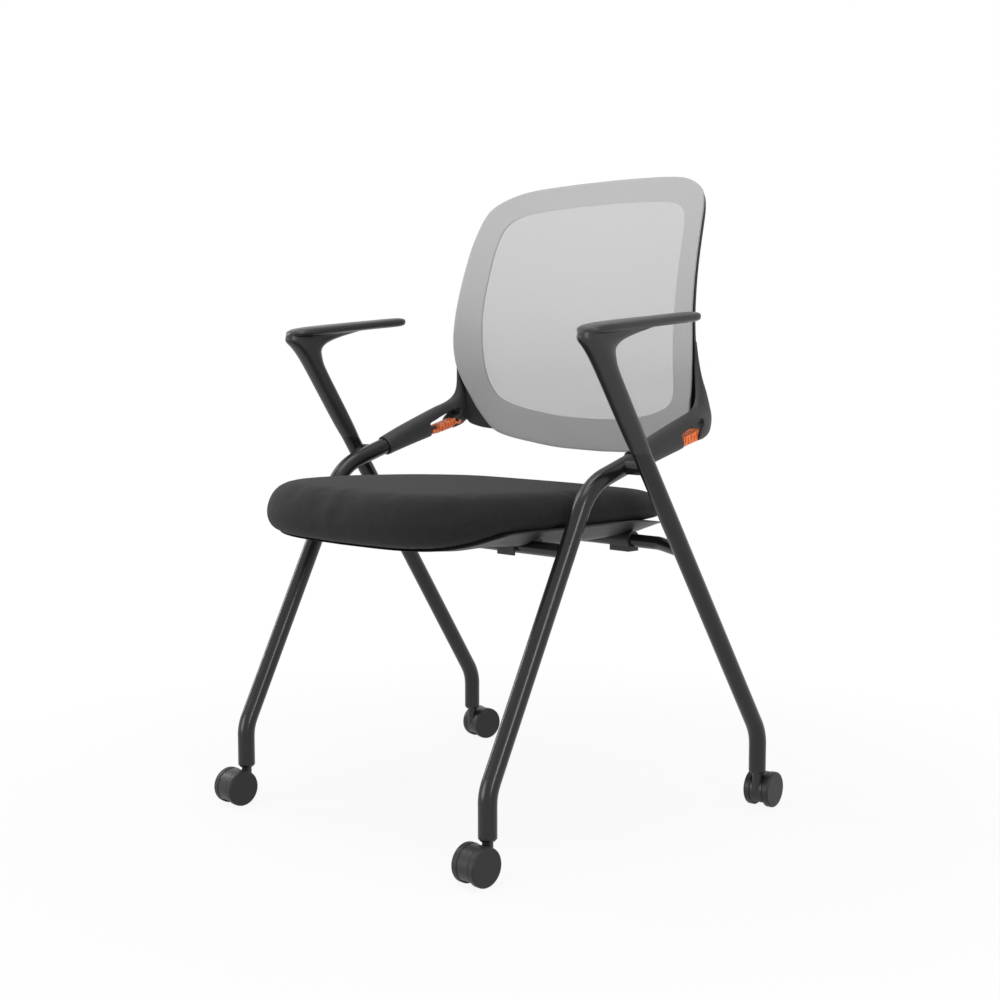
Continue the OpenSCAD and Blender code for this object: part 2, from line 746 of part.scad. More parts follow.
module flex_spring() {
    slit = 0.16 / fold_count;
    color(spring_orange) difference() {
        intersection() {
            bracket_solid();
            union() {
                spring_slab(spring_w) polygon(block_corners);
                spring_slab(spring_w) translate([front_bead[0], front_bead[1] - neck_t / 2])
                    square([spring_span * 0.2, neck_t]);
                spring_slab(spring_w) translate(front_bead) circle(d = bead_d * 0.9);
                spring_slab(bead_w) translate([spring_span * 0.7, -neck_t / 2])
                    square([spring_span * 0.3, neck_t]);
                spring_slab(bead_w) translate([spring_span, 0]) circle(d = bead_d);
            }
        }
        for (i = [0:fold_count - 1]) let (
            middle = (i + 0.5) / fold_count,
            from = i % 2 == 0 ? 0.28 : -0.1,
            to = i % 2 == 0 ? 1.1 : 0.72
        )
            translate([-over, 0, 0]) spring_slab(spring_w + 2 * over)
                polygon([
                    in_block(middle - slit, from), in_block(middle + slit, from),
                    in_block(middle + slit, to), in_block(middle - slit, to)
                ]);
    }
}

screw_d = 5;
// Screws that hold the carrier to the frame: places round the outline, as shares of half width and height
back_screw_shares = [[0.89, 0.66], [0.865, 0.82], [0.61, 0.935], [0, 0.953]];
module at_back_screws() {
    for (s = back_screw_shares, side = s[0] == 0 ? [1] : [1, -1]) let (
        x = side * s[0] * panel_half_w,
        z = panel_low_z + s[1] * panel_h
    )
        translate([x, panel_y_at(x, z) + rim_depth_at(z) + rim_t * 0.55, z])
            rotate([-90, 0, 0]) children();
}

module back_screws() {
    color(bright_steel) at_back_screws()
        translate([0, 0, press_gap]) cylinder(h = screw_d / 2, d1 = 2 * screw_d, d2 = screw_d * 1.4);
}

// Seat

// Half outline of the seat from the front middle to the rear middle: shares of half width and half depth
seat_shares = [
    [0, -1], [0.38, -0.982], [0.63, -0.93], [0.8, -0.835], [0.905, -0.69], [0.965, -0.48], [0.995, -0.16],
    [0.995, 0.2], [0.975, 0.55], [0.92, 0.78], [0.79, 0.92], [0.56, 0.985], [0, 1]
];
seat_middle_y = seat_rear_y - seat_depth / 2;
seat_shares_loop = mirrored_loop(smooth_line(seat_shares, 3));
function seat_outline(inset) = [
    for (p = seat_shares_loop)
        [p[0] * (seat_w / 2 - inset), seat_middle_y + p[1] * (seat_depth / 2 - inset)]
];
// Share of the seam's drop, by share of the seat's depth from the front edge
seam_shares = [[0, 1], [0.08, 0.93], [0.16, 0.6], [0.24, 0.2], [0.32, 0.03], [0.68, 0.03], [0.8, 0.16],
    [0.9, 0.4], [1, 0.72]];
function seam_at(y) = seam_z - seam_drop * table_value(seam_shares, along_seat(y));
// Share of the top's fall, by share of the seat's depth from the front edge
fall_shares = [[0, 0], [0.25, 0.03], [0.5, 0.2], [0.75, 0.5], [1, 1]];
function along_seat(y) = (y - seat_rear_y) / seat_depth + 1;
function rim_top_at(y) = seam_z + cushion_h - cushion_crown
    - cushion_rear_fall * table_value(fall_shares, along_seat(y));
function seat_ring(inset, lift_share, crown_share, lift = 0) = [
    for (p = seat_outline(inset)) [
        -p[0],
        p[1],
        between(seam_at(p[1]), rim_top_at(p[1]), lift_share) + cushion_crown * crown_share + lift
    ]
];

// Rows over the cushion: inset from the widest outline as a share of its height, share of the
// height, and share of the crown
cushion_shares = [
    [0.46, 0, 0], [0.22, 0.04, 0], [0.06, 0.18, 0], [0, 0.38, 0], [0.04, 0.58, 0], [0.14, 0.77, 0],
    [0.32, 0.92, 0], [0.62, 1, 0.02], [1.3, 1, 0.3], [2.4, 1, 0.7], [3.8, 1, 0.97]
];
// Rows under the cushion and over the shell: inset as a share of the cushion's height
under_shares = [2.6, 1.3, 0.9, 0.6];
cushion_gap = 2 * seat_gap;
board_inset = 32;
module seat_cushion() {
    color(seat_fabric) difference() {
        skin(concat(
            [for (s = under_shares) seat_ring(cushion_h * s, 0, 0, cushion_gap)],
            [for (row = cushion_shares)
                seat_ring(cushion_h * row[0], row[1], row[2], row[1] == 0 ? cushion_gap : 0)]
        ));
        translate([0, 0, seam_z - seam_drop])
            linear_extrude(seam_drop + board_t + 2 * seat_gap) board_outline(seat_gap);
    }
}

board_front_y = seat_rear_y - seat_depth * 0.76;
board_rear_y = seat_rear_y - board_inset;
board_r = 60;
module board_outline(extra) {
    wide = seat_w / 2 - board_inset + extra - board_r;
    hull()
        for (side = [-1, 1], y = [board_front_y - extra + board_r, board_rear_y + extra - board_r])
            translate([side * wide, y]) circle(r = board_r);
}

module seat_board() {
    color(plywood) translate([0, 0, seam_z + seat_gap]) linear_extrude(board_t) board_outline(0);
}

// Share of the shell's depth, by share of the seat's depth from the front edge
shell_shares = [[0, 0.02], [0.1, 0.16], [0.2, 0.52], [0.32, 0.8], [0.5, 0.97], [0.68, 0.95], [0.84, 0.82],
    [0.95, 0.66], [1, 0.5]];
function shell_low_at(y) = seam_at(y) - shell_depth * table_value(shell_shares, along_seat(y));
shell_inset = 5;
// The shell keeps clear of the rounded underside of the cushion's front edge
shell_front_inset = 20;
function shell_ring(inset, drop_share, front_inset = 0) = [
    for (p = seat_shares_loop) let (
        x = p[0] * (seat_w / 2 - inset),
        y = seat_middle_y + p[1] * (seat_depth / 2 - inset - (p[1] < 0 ? front_inset : 0))
    ) [x, y, between(seam_at(y), shell_low_at(y), drop_share)]
];

// Gap between a crossbar and the shell, filled by the clips and rests
groove_gap = 4;
groove_r = bar_d / 2 + groove_gap;
module bar_groove(y, z) {
    side_slab(seat_w + 2 * over) {
        translate([y, z]) circle(r = groove_r);
        translate([y - groove_r, z - shell_depth - bar_d]) square([2 * groove_r, shell_depth + bar_d]);
    }
}

// A bay hollowed in the shell under the board, between two places along the seat
module shell_bay(front, rear, half) {
    low = max(shell_low_at(front), shell_low_at((front + rear) / 2), shell_low_at(rear)) + shell_wall;
    translate([-half, front, low]) cube([2 * half, rear - front, seam_z - low + over]);
}

module seat_shell() {
    reach = groove_r + shell_wall;
    bay_half = seat_w / 2 - 2.2 * shell_depth;
    color(black_plastic) difference() {
        skin([
            shell_ring(cushion_h * 2.6, 1),
            shell_ring(shell_depth * 2.2, 1),
            shell_ring(shell_depth * 1.35, 0.86),
            shell_ring(shell_depth * 0.75, 0.5, shell_front_inset / 2),
            shell_ring(shell_inset, 0.08, shell_front_inset),
            shell_ring(shell_inset, 0, shell_front_inset),
            for (i = [len(under_shares) - 1:-1:0]) shell_ring(cushion_h * under_shares[i], 0)
        ]);
        bar_groove(front_bar_y, front_bar_z);
        bar_groove(rear_bar_y, rear_bar_z);
        shell_bay(front_bar_y - 2.6 * reach, front_bar_y - reach, bay_half * 0.9);
        shell_bay(front_bar_y + reach, rear_bar_y - reach, bay_half);
        shell_bay(rear_bar_y + reach, rear_bar_y + 2.2 * reach, bay_half * 0.8);
    }
}

// Clips that carry the seat on the rear crossbar, pressed into the groove, with a flat foot below
clip_x = seat_w * 0.395;
clip_w = 34;
clip_foot = 2;
module pivot_clip() {
    clip_r = groove_r - press_gap;
    color(black_plastic) difference() {
        translate([clip_x, 0, 0]) side_slab(clip_w) translate([rear_bar_y, rear_bar_z]) {
            circle(r = clip_r);
            translate([-clip_r * 0.8, -clip_r - clip_foot]) square([clip_r * 1.6, clip_r]);
        }
        translate([clip_x - clip_w, rear_bar_y, rear_bar_z])
            rotate([0, 90, 0]) cylinder(h = 2 * clip_w, r = bar_d / 2 + run_gap);
    }
}

// Rests in the front groove that land on the front crossbar, with a lip that hangs in front of it
rest_x = seat_w * 0.335;
rest_w = 30;
rest_lip = 11;
rest_lip_gap = 2 * seat_gap;
module seat_rest() {
    rest_r = groove_r - press_gap;
    lip_y = -bar_d / 2 - rest_lip_gap;
    color(black_plastic)
        translate([rest_x, 0, 0]) side_slab(rest_w) translate([front_bar_y, front_bar_z]) {
            difference() {
                circle(r = rest_r);
                circle(r = bar_d / 2 + seat_gap);
                translate([lip_y, -2 * rest_r]) square([2 * rest_r, 2 * rest_r]);
            }
            translate([-rest_r, -rest_lip]) square([lip_y + rest_r, rest_lip]);
        }
}

module seat_screws() {
    color(bright_steel)
        for (side = [-1, 1], y = [front_bar_y + bar_d * 2, rear_bar_y - bar_d * 2])
            translate([side * clip_x * 0.6, y, shell_low_at(y) - screw_d / 2])
                cylinder(h = screw_d / 2 - seat_gap, d1 = screw_d * 1.4, d2 = 2 * screw_d);
}

// Casters, drawn on the swivel axis at the floor with the wheels trailing towards -Y

wheel_r = wheel_d / 2;
hood_shell = 3.6;
hood_set = 0.8;
hood_r = wheel_r - hood_set;
hood_low_z = wheel_r * 0.36;
neck_d = 14;
socket_flange = 3;
wheel_gap = 0.6;
wheel_x = hood_w / 2 + wheel_gap;
neck_top_z = tube_foot_z - socket_flange - seat_gap;

module caster_hood() {
    color(black_plastic) difference() {
        union() {
            translate([0, -caster_trail, wheel_r]) rotate([0, 90, 0]) {
                difference() {
                    cylinder(h = hood_w, r = hood_r, center = true);
                    cylinder(h = hood_w + 2 * over, r = hood_r - hood_shell, center = true);
                }
                cylinder(h = hood_w * 0.3, r = hood_r - hood_shell / 2, center = true);
                cylinder(h = hood_w, d = 2.2 * axle_d, center = true);
            }
            translate([0, 0, wheel_r]) cylinder(h = neck_top_z - wheel_r, d = neck_d);
        }
        translate([-hood_w, -caster_trail - wheel_r, -over])
            cube([2 * hood_w, 2 * wheel_r, hood_low_z + over]);
        translate([-hood_w, -caster_trail, wheel_r])
            rotate([0, 90, 0]) cylinder(h = 2 * hood_w, d = axle_d);
        translate([0, 0, wheel_r + neck_d * 0.3]) cylinder(h = wheel_d, d = stem_d);
    }
}

module caster_stem() {
    color(bright_steel)
        translate([0, 0, wheel_r + neck_d * 0.3])
            cylinder(h = tube_foot_z + stem_grip - wheel_r - neck_d * 0.3, d = stem_d);
}

axle_reach = wheel_x + wheel_w * 0.7;
module caster_axle() {
    color(bright_steel)
        translate([-axle_reach, -caster_trail, wheel_r])
            rotate([0, 90, 0]) cylinder(h = 2 * axle_reach, d = axle_d);
}

// Half section of a wheel, as radius and place across, its outer face up
web_t = 3.4;
hub_r = 1.2 * axle_d;
wheel_back_r = wheel_edge_r * 0.55;
module wheel() {
    color(black_plastic)
        rotate_extrude() difference() {
            union() {
                square([wheel_r - wheel_edge_r, wheel_w]);
                translate([0, wheel_back_r]) square([wheel_r, wheel_w - wheel_edge_r - wheel_back_r]);
                translate([wheel_r - wheel_edge_r, wheel_w - wheel_edge_r]) circle(r = wheel_edge_r);
                translate([wheel_r - wheel_back_r, wheel_back_r]) circle(r = wheel_back_r);
            }
            translate([0, -over]) square([axle_d / 2 + run_gap, over + wheel_w * 0.75]);
            translate([hub_r, -over])
                square([wheel_r - 1.6 * wheel_edge_r - hub_r, wheel_w - web_t + over]);
        }
}

module caster_wheel(side) {
    translate([0, -caster_trail, wheel_r]) place_side(side)
        translate([wheel_x, 0, 0]) rotate([0, 90, 0]) wheel();
}

module caster_socket() {
    bore_d = tube_d - 2 * tube_wall;
    color(black_plastic) translate([0, 0, tube_foot_z]) difference() {
        union() {
            translate([0, 0, -socket_flange])
                cylinder(h = socket_flange, d1 = tube_d - 1.6 * socket_flange, d2 = tube_d);
            cylinder(h = stem_grip + socket_flange, d = bore_d);
        }
        translate([0, 0, -socket_flange - over])
            cylinder(h = stem_grip + socket_flange + over + press_gap, d = stem_d + 2 * run_gap);
    }
}

// Puts a caster piece under a tube; side is 1 on the left and -1 on the right
module at_front(side) {
    translate([side * front_leg_x, front_foot_y, 0]) children();
}

module at_rear(side) {
    translate([side * rear_leg_x, rear_foot_y, 0]) rotate([0, 0, 180 + rear_heading * side]) children();
}

front_leg();  // front_leg_left
place_side(-1) front_leg();  // front_leg_right
rear_leg();  // rear_leg_left
place_side(-1) rear_leg();  // rear_leg_right
leg_spacer();  // leg_spacer_left
place_side(-1) leg_spacer();  // leg_spacer_right
front_crossbar();
rear_crossbar();
armrest();  // armrest_left
place_side(-1) armrest();  // armrest_right
back_sleeve();  // back_sleeve_left
place_side(-1) back_sleeve();  // back_sleeve_right
at_front(1) caster_socket();  // caster_socket_front_left
at_front(-1) caster_socket();  // caster_socket_front_right
at_rear(1) caster_socket();  // caster_socket_rear_left
at_rear(-1) caster_socket();  // caster_socket_rear_right
at_front(1) caster_hood();  // caster_hood_front_left
at_front(-1) caster_hood();  // caster_hood_front_right
at_rear(1) caster_hood();  // caster_hood_rear_left
at_rear(-1) caster_hood();  // caster_hood_rear_right
at_front(1) caster_stem();  // caster_stem_front_left
at_front(-1) caster_stem();  // caster_stem_front_right
at_rear(1) caster_stem();  // caster_stem_rear_left
at_rear(-1) caster_stem();  // caster_stem_rear_right
at_front(1) caster_axle();  // caster_axle_front_left
at_front(-1) caster_axle();  // caster_axle_front_right
at_rear(1) caster_axle();  // caster_axle_rear_left
at_rear(-1) caster_axle();  // caster_axle_rear_right
at_front(1) caster_wheel(1);  // wheel_outer_front_left
at_front(-1) caster_wheel(-1);  // wheel_outer_front_right
at_rear(1) caster_wheel(-1);  // wheel_outer_rear_left
at_rear(-1) caster_wheel(1);  // wheel_outer_rear_right
at_front(1) caster_wheel(-1);  // wheel_inner_front_left
at_front(-1) caster_wheel(1);  // wheel_inner_front_right
at_rear(1) caster_wheel(1);  // wheel_inner_rear_left
at_rear(-1) caster_wheel(-1);  // wheel_inner_rear_right
seat_cushion();
seat_board();
seat_shell();
pivot_clip();  // pivot_clip_left
place_side(-1) pivot_clip();  // pivot_clip_right
seat_rest();  // seat_rest_left
place_side(-1) seat_rest();  // seat_rest_right
seat_screws();
back_frame();
mesh_carrier();
mesh_panel();
back_screws();
flex_spring();  // flex_spring_left
place_side(-1) flex_spring();  // flex_spring_right
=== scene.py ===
# %% [markdown]
# # A nesting chair, dressed for the studio
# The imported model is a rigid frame: every tube, moulding and caster is already
# where it belongs. Here it gets its finishes, and its soft and flowing parts are
# modelled again as what they are. Everything is in metres. The chair faces -Y,
# X runs from side to side, and the floor is at z = 0.

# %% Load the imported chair
import math

import bmesh
import bpy
from mathutils import Matrix, Vector


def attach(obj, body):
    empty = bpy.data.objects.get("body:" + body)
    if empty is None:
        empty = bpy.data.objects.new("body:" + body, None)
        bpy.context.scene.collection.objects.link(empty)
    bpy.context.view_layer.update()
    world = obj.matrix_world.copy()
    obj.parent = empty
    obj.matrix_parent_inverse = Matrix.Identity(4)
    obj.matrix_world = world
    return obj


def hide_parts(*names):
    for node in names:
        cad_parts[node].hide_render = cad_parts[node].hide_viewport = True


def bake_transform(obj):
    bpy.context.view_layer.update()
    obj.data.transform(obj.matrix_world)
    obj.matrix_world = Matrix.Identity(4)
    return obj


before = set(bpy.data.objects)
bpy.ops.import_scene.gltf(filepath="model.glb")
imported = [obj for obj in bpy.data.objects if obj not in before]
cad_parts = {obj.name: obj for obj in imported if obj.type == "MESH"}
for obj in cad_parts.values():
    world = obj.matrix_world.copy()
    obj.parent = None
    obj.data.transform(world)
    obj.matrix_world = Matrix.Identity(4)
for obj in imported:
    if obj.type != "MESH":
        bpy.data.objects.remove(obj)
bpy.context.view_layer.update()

# %% [markdown]
# ## The camera
# The photograph was taken from the chair's front left corner, a little above the
# seat. The lens is fairly long, so upright edges stay nearly upright. The place was
# found by lining the solids up with the outline in the photograph.

# %% Camera
lens = bpy.data.cameras.new("studio_lens")
lens.lens = 57.69
lens.sensor_width = 36
camera = bpy.data.objects.new("studio_camera", lens)
camera.location = (1.606, -1.565, 0.644)
camera.rotation_euler = (math.radians(90 - 5.37), math.radians(0.05), math.radians(45.30))
bpy.context.scene.collection.objects.link(camera)
bpy.context.scene.camera = camera
print("camera is", round((Vector(camera.location) - Vector((0, 0, 0.45))).length, 2), "m away")

# %% [markdown]
# ## Floor and light
# A catalogue photograph stands on white paper. A wide plain floor is lit softly, and
# only for the camera and for mirror rays it shows white paper, so no extra light
# falls on the chair. The world does the same for the backdrop.

# %% View settings
scene = bpy.context.scene
scene.view_settings.view_transform = "Standard"


# %% White paper for the camera
def paper_white(tree, lit_socket, out_socket, share, near=None):
    """Shows white to camera, mirror and clear rays, and the lit colour to all others.

    Within near metres of the chair only a share of the white is laid over the lit colour."""
    path = tree.nodes.new("ShaderNodeLightPath")
    seen = tree.nodes.new("ShaderNodeMath")
    seen.operation = "MAXIMUM"
    tree.links.new(path.outputs["Is Camera Ray"], seen.inputs[0])
    tree.links.new(path.outputs["Is Glossy Ray"], seen.inputs[1])
    clear = tree.nodes.new("ShaderNodeMath")
    clear.operation = "MAXIMUM"
    tree.links.new(seen.outputs[0], clear.inputs[0])
    tree.links.new(path.outputs["Is Transmission Ray"], clear.inputs[1])
    amount = tree.nodes.new("ShaderNodeMath")
    amount.operation = "MULTIPLY"
    amount.inputs[1].default_value = share
    tree.links.new(clear.outputs[0], amount.inputs[0])
    if near:
        place = tree.nodes.new("ShaderNodeTexCoord")
        away = tree.nodes.new("ShaderNodeVectorMath")
        away.operation = "LENGTH"
        tree.links.new(place.outputs["Object"], away.inputs[0])
        fade = tree.nodes.new("ShaderNodeMapRange")
        fade.interpolation_type = "SMOOTHSTEP"
        ranges = {"From Min": near * 0.45, "From Max": near, "To Min": share, "To Max": 1}
        for socket, value in ranges.items():
            fade.inputs[socket].default_value = value
        tree.links.new(away.outputs["Value"], fade.inputs["Value"])
        tree.links.new(fade.outputs["Result"], amount.inputs[1])
    white = tree.nodes.new("ShaderNodeBackground" if share == 1 else "ShaderNodeEmission")
    white.inputs["Color"].default_value = (1, 1, 1, 1)
    white.inputs["Strength"].default_value = 1
    blend = tree.nodes.new("ShaderNodeMixShader")
    tree.links.new(amount.outputs[0], blend.inputs["Fac"])
    tree.links.new(lit_socket, blend.inputs[1])
    tree.links.new(white.outputs[0], blend.inputs[2])
    tree.links.new(blend.outputs[0], out_socket)


# %% World
world = bpy.data.worlds.new("soft_room")
world.use_nodes = True
scene.world = world
room = world.node_tree
room_light = room.nodes["Background"]
room_light.inputs["Color"].default_value = (1, 1, 1, 1)
room_light.inputs["Strength"].default_value = 0.34
paper_white(room, room_light.outputs[0], room.nodes["World Output"].inputs["Surface"], 1)

# %% Floor
floor_mesh = bpy.data.meshes.new("paper_floor")
shape = bmesh.new()
bmesh.ops.create_grid(shape, x_segments=1, y_segments=1, size=25)
shape.to_mesh(floor_mesh)
shape.free()
floor = bpy.data.objects.new("paper_floor", floor_mesh)
scene.collection.objects.link(floor)
paper = bpy.data.materials.new("floor_paper")
paper.use_nodes = True
paper_shader = paper.node_tree.nodes["Principled BSDF"]
paper_shader.inputs["Base Color"].default_value = (0.82, 0.82, 0.82, 1)
paper_shader.inputs["Roughness"].default_value = 0.9
paper_white(
    paper.node_tree, paper_shader.outputs[0],
    paper.node_tree.nodes["Material Output"].inputs["Surface"], 0.9, 1.1
)
floor_mesh.materials.append(paper)


# %% Soft lamps
def soft_lamp(name, place, aim, width, power):
    lamp = bpy.data.lights.new(name, "AREA")
    lamp.shape = "RECTANGLE"
    lamp.size, lamp.size_y = width
    lamp.energy = power
    stand = bpy.data.objects.new(name, lamp)
    stand.location = place
    stand.rotation_euler = (Vector(aim) - Vector(place)).to_track_quat("-Z", "Y").to_euler()
    scene.collection.objects.link(stand)


soft_lamp("top_softbox", (0.2, -0.4, 2.6), (0, 0, 0.4), (1.6, 1.6), 25)
soft_lamp("front_softbox", (-0.9, -3.2, 0.75), (0, 0, 0.6), (1.6, 1.4), 38)
soft_lamp("left_strip", (-2.2, -0.6, 1.4), (0, 0, 0.5), (0.3, 2.0), 16)
soft_lamp("right_strip", (2.5, -1.0, 1.2), (0, 0, 0.5), (0.4, 2.0), 26)

# %% [markdown]
# ## Finishes
# Each finish is a small recipe on one Principled shader. Patterns are worked out in
# the chair's own coordinates, in metres, so they have their real size and ride along
# when a part moves. Colours are given as they look on a screen and turned into the
# linear values that the shader takes.


# %% Recipe helper
def seen_colour(red, green, blue):
    """A screen colour from 0 to 255 as the shader's linear colour"""
    return tuple(
        (c / 255 / 12.92 if c / 255 <= 0.04045 else ((c / 255 + 0.055) / 1.055) ** 2.4)
        for c in (red, green, blue)
    ) + (1,)


class Finish:
    """One material, built node by node"""

    def __init__(self, name, **settings):
        self.material = bpy.data.materials.new(name)
        self.material.use_nodes = True
        self.tree = self.material.node_tree
        self.shader = self.tree.nodes["Principled BSDF"]
        for socket, value in settings.items():
            self.shader.inputs[socket.replace("_", " ").title().replace("Ior", "IOR")].default_value = value
        self.place = self.tree.nodes.new("ShaderNodeTexCoord")

    def node(self, kind, links=None, values=None, **settings):
        made = self.tree.nodes.new(kind)
        for key, value in settings.items():
            setattr(made, key, value)
        for key, value in (values or {}).items():
            made.inputs[key].default_value = value
        for key, value in (links or {}).items():
            self.tree.links.new(value, made.inputs[key])
        return made

    def grain(self, size, detail=2, rough=0.5, source=None):
        """Cloudy noise whose features are about size metres across"""
        made = self.node(
            "ShaderNodeTexNoise", {"Vector": source or self.place.outputs["Object"]},
            {"Scale": 1 / size, "Detail": detail, "Roughness": rough}
        )
        return made.outputs["Fac"]

    def ranged(self, source, low, high, from_low=0.3, from_high=0.7):
        made = self.node(
            "ShaderNodeMapRange", {"Value": source},
            {"From Min": from_low, "From Max": from_high, "To Min": low, "To Max": high}
        )
        return made.outputs["Result"]

    def two_tone(self, source, dark, light):
        made = self.node("ShaderNodeMix", data_type="RGBA")
        self.tree.links.new(source, made.inputs["Factor"])
        made.inputs["A"].default_value = dark
        made.inputs["B"].default_value = light
        return made.outputs["Result"]

    def math(self, kind, a, b=None):
        made = self.node("ShaderNodeMath", operation=kind)
        for i, value in enumerate((a, b)):
            if value is None:
                continue
            if isinstance(value, (int, float)):
                made.inputs[i].default_value = value
            else:
                self.tree.links.new(value, made.inputs[i])
        return made.outputs[0]

    def relief(self, height, depth, strength=1.0, under=None):
        """Bumps from a height of 0 to 1 that stand depth metres proud"""
        made = self.node(
            "ShaderNodeBump", {"Height": height}, {"Distance": depth, "Strength": strength}
        )
        if under is not None:
            self.tree.links.new(under, made.inputs["Normal"])
        return made.outputs["Normal"]

    def wire(self, **sockets):
        for socket, source in sockets.items():
            self.tree.links.new(source, self.shader.inputs[socket.replace("_", " ").title()])
        return self.material


# %% [markdown]
# ### Powder-coated steel
# The tubes are dipped in static-charged powder and baked. The coat flows into a faint
# orange-peel ripple about a millimetre across, with a satin shine that gives a crisp
# line of light along each tube.


# %% Powder coat
def powder_coat(name, tone):
    coat = Finish(name, roughness=0.3, specular_ior_level=0.38)
    ripple = coat.grain(0.0011, detail=1)
    cloud = coat.grain(0.06, detail=3)
    coat.wire(
        base_color=coat.two_tone(cloud, seen_colour(tone - 4, tone - 4, tone - 3),
                                 seen_colour(tone + 5, tone + 5, tone + 6)),
        roughness=coat.ranged(cloud, 0.2, 0.27),
        normal=coat.relief(ripple, 0.00004, 0.35),
    )
    return coat.material


leg_coat = powder_coat("black_powder_coat", 23)

# %% [markdown]
# ### Moulded plastic
# The mould for the black parts is spark-eroded, which prints a fine even grain into
# the plastic and makes it matt. Two grains of different size give that skin, and a
# slow cloud changes the shine a little, as hands do.


# %% Moulded plastic
def moulded_plastic(name, colour, shine=0.52, grain_size=0.0006, depth=0.00005, level=0.38):
    skin = Finish(name, roughness=shine, specular_ior_level=level)
    fine = skin.grain(grain_size, detail=2, rough=0.6)
    coarse = skin.grain(grain_size * 3.2, detail=1)
    cloud = skin.grain(0.09, detail=3)
    light = tuple(min(c + 7, 255) for c in colour)
    skin.wire(
        base_color=skin.two_tone(cloud, seen_colour(*colour), seen_colour(*light)),
        roughness=skin.ranged(cloud, shine - 0.05, shine + 0.05),
        normal=skin.relief(skin.math("ADD", fine, coarse), depth, 0.5),
    )
    return skin.material


black_plastic = moulded_plastic("black_moulded_plastic", (38, 38, 39))
caster_plastic = moulded_plastic("caster_hood_plastic", (26, 26, 27), 0.4)
arm_plastic = moulded_plastic("armrest_moulded_plastic", (30, 30, 31), 0.36, level=0.45)
carrier_plastic = moulded_plastic("light_grey_plastic", (164, 164, 164), 0.5)
orange_plastic = moulded_plastic("orange_spring_plastic", (248, 132, 76), 0.42, 0.0005, 0.00003)

# %% [markdown]
# ### Wheels
# The wheels are nylon. Their tread picks up dust and scuffs; the whole wheel is drawn
# a little lighter and duller in streaks.


# %% Wheel nylon
def wheel_nylon():
    nylon = Finish("wheel_nylon", roughness=0.42, specular_ior_level=0.35)
    streaks = nylon.grain(0.004, detail=4, rough=0.7)
    fine = nylon.grain(0.0007, detail=2)
    nylon.wire(
        base_color=nylon.two_tone(nylon.ranged(streaks, 0, 1, 0.45, 0.75),
                                  seen_colour(26, 26, 27), seen_colour(34, 34, 34)),
        roughness=nylon.ranged(streaks, 0.36, 0.55),
        normal=nylon.relief(fine, 0.00004, 0.5),
    )
    return nylon.material


nylon = wheel_nylon()


# %% [markdown]
# ### Bare steel and plywood
# Screws, stems and axles are zinc-plated: bright, slightly blue and finely brushed.
# The board in the seat is birch plywood, with long grain across its faces.


# %% Plated steel
def plated_steel():
    zinc = Finish("plated_steel", roughness=0.3, metallic=1.0)
    brushed = zinc.node("ShaderNodeMapping", {"Vector": zinc.place.outputs["Object"]})
    brushed.inputs["Scale"].default_value = (1, 1, 0.12)
    lines = zinc.grain(0.0004, detail=2, source=brushed.outputs["Vector"])
    zinc.wire(
        base_color=zinc.two_tone(lines, seen_colour(150, 152, 156), seen_colour(196, 198, 202)),
        roughness=zinc.ranged(lines, 0.24, 0.4),
        normal=zinc.relief(lines, 0.00002, 0.4),
    )
    return zinc.material


def birch_ply():
    ply = Finish("birch_plywood", roughness=0.6)
    along = ply.node("ShaderNodeMapping", {"Vector": ply.place.outputs["Object"]})
    along.inputs["Scale"].default_value = (6, 0.5, 6)
    fibres = ply.grain(0.02, detail=6, rough=0.65, source=along.outputs["Vector"])
    ply.wire(
        base_color=ply.two_tone(ply.ranged(fibres, 0, 1), seen_colour(186, 148, 98),
                                seen_colour(214, 180, 130)),
        normal=ply.relief(fibres, 0.0002, 0.4),
    )
    return ply.material


zinc = plated_steel()
plywood = birch_ply()

# %% [markdown]
# ### Seat cloth
# The seat is covered with a flat woven cloth in near-black. Warp and weft cross every
# 1.4 mm. The weave is laid on along the three main directions and mixed by where the
# surface faces, so that it neither stretches on the sides nor slides. A little sheen
# stands for the soft fibre ends.


# %% Seat cloth
def weave_height(cloth, first, second, pitch):
    """Over-and-under threads on the plane of two coordinates"""
    turns = 2 * math.pi / pitch
    warp = cloth.math("SINE", cloth.math("MULTIPLY", first, turns))
    weft = cloth.math("SINE", cloth.math("MULTIPLY", second, turns))
    return cloth.ranged(cloth.math("MULTIPLY", warp, weft), 0, 1, -1, 1)


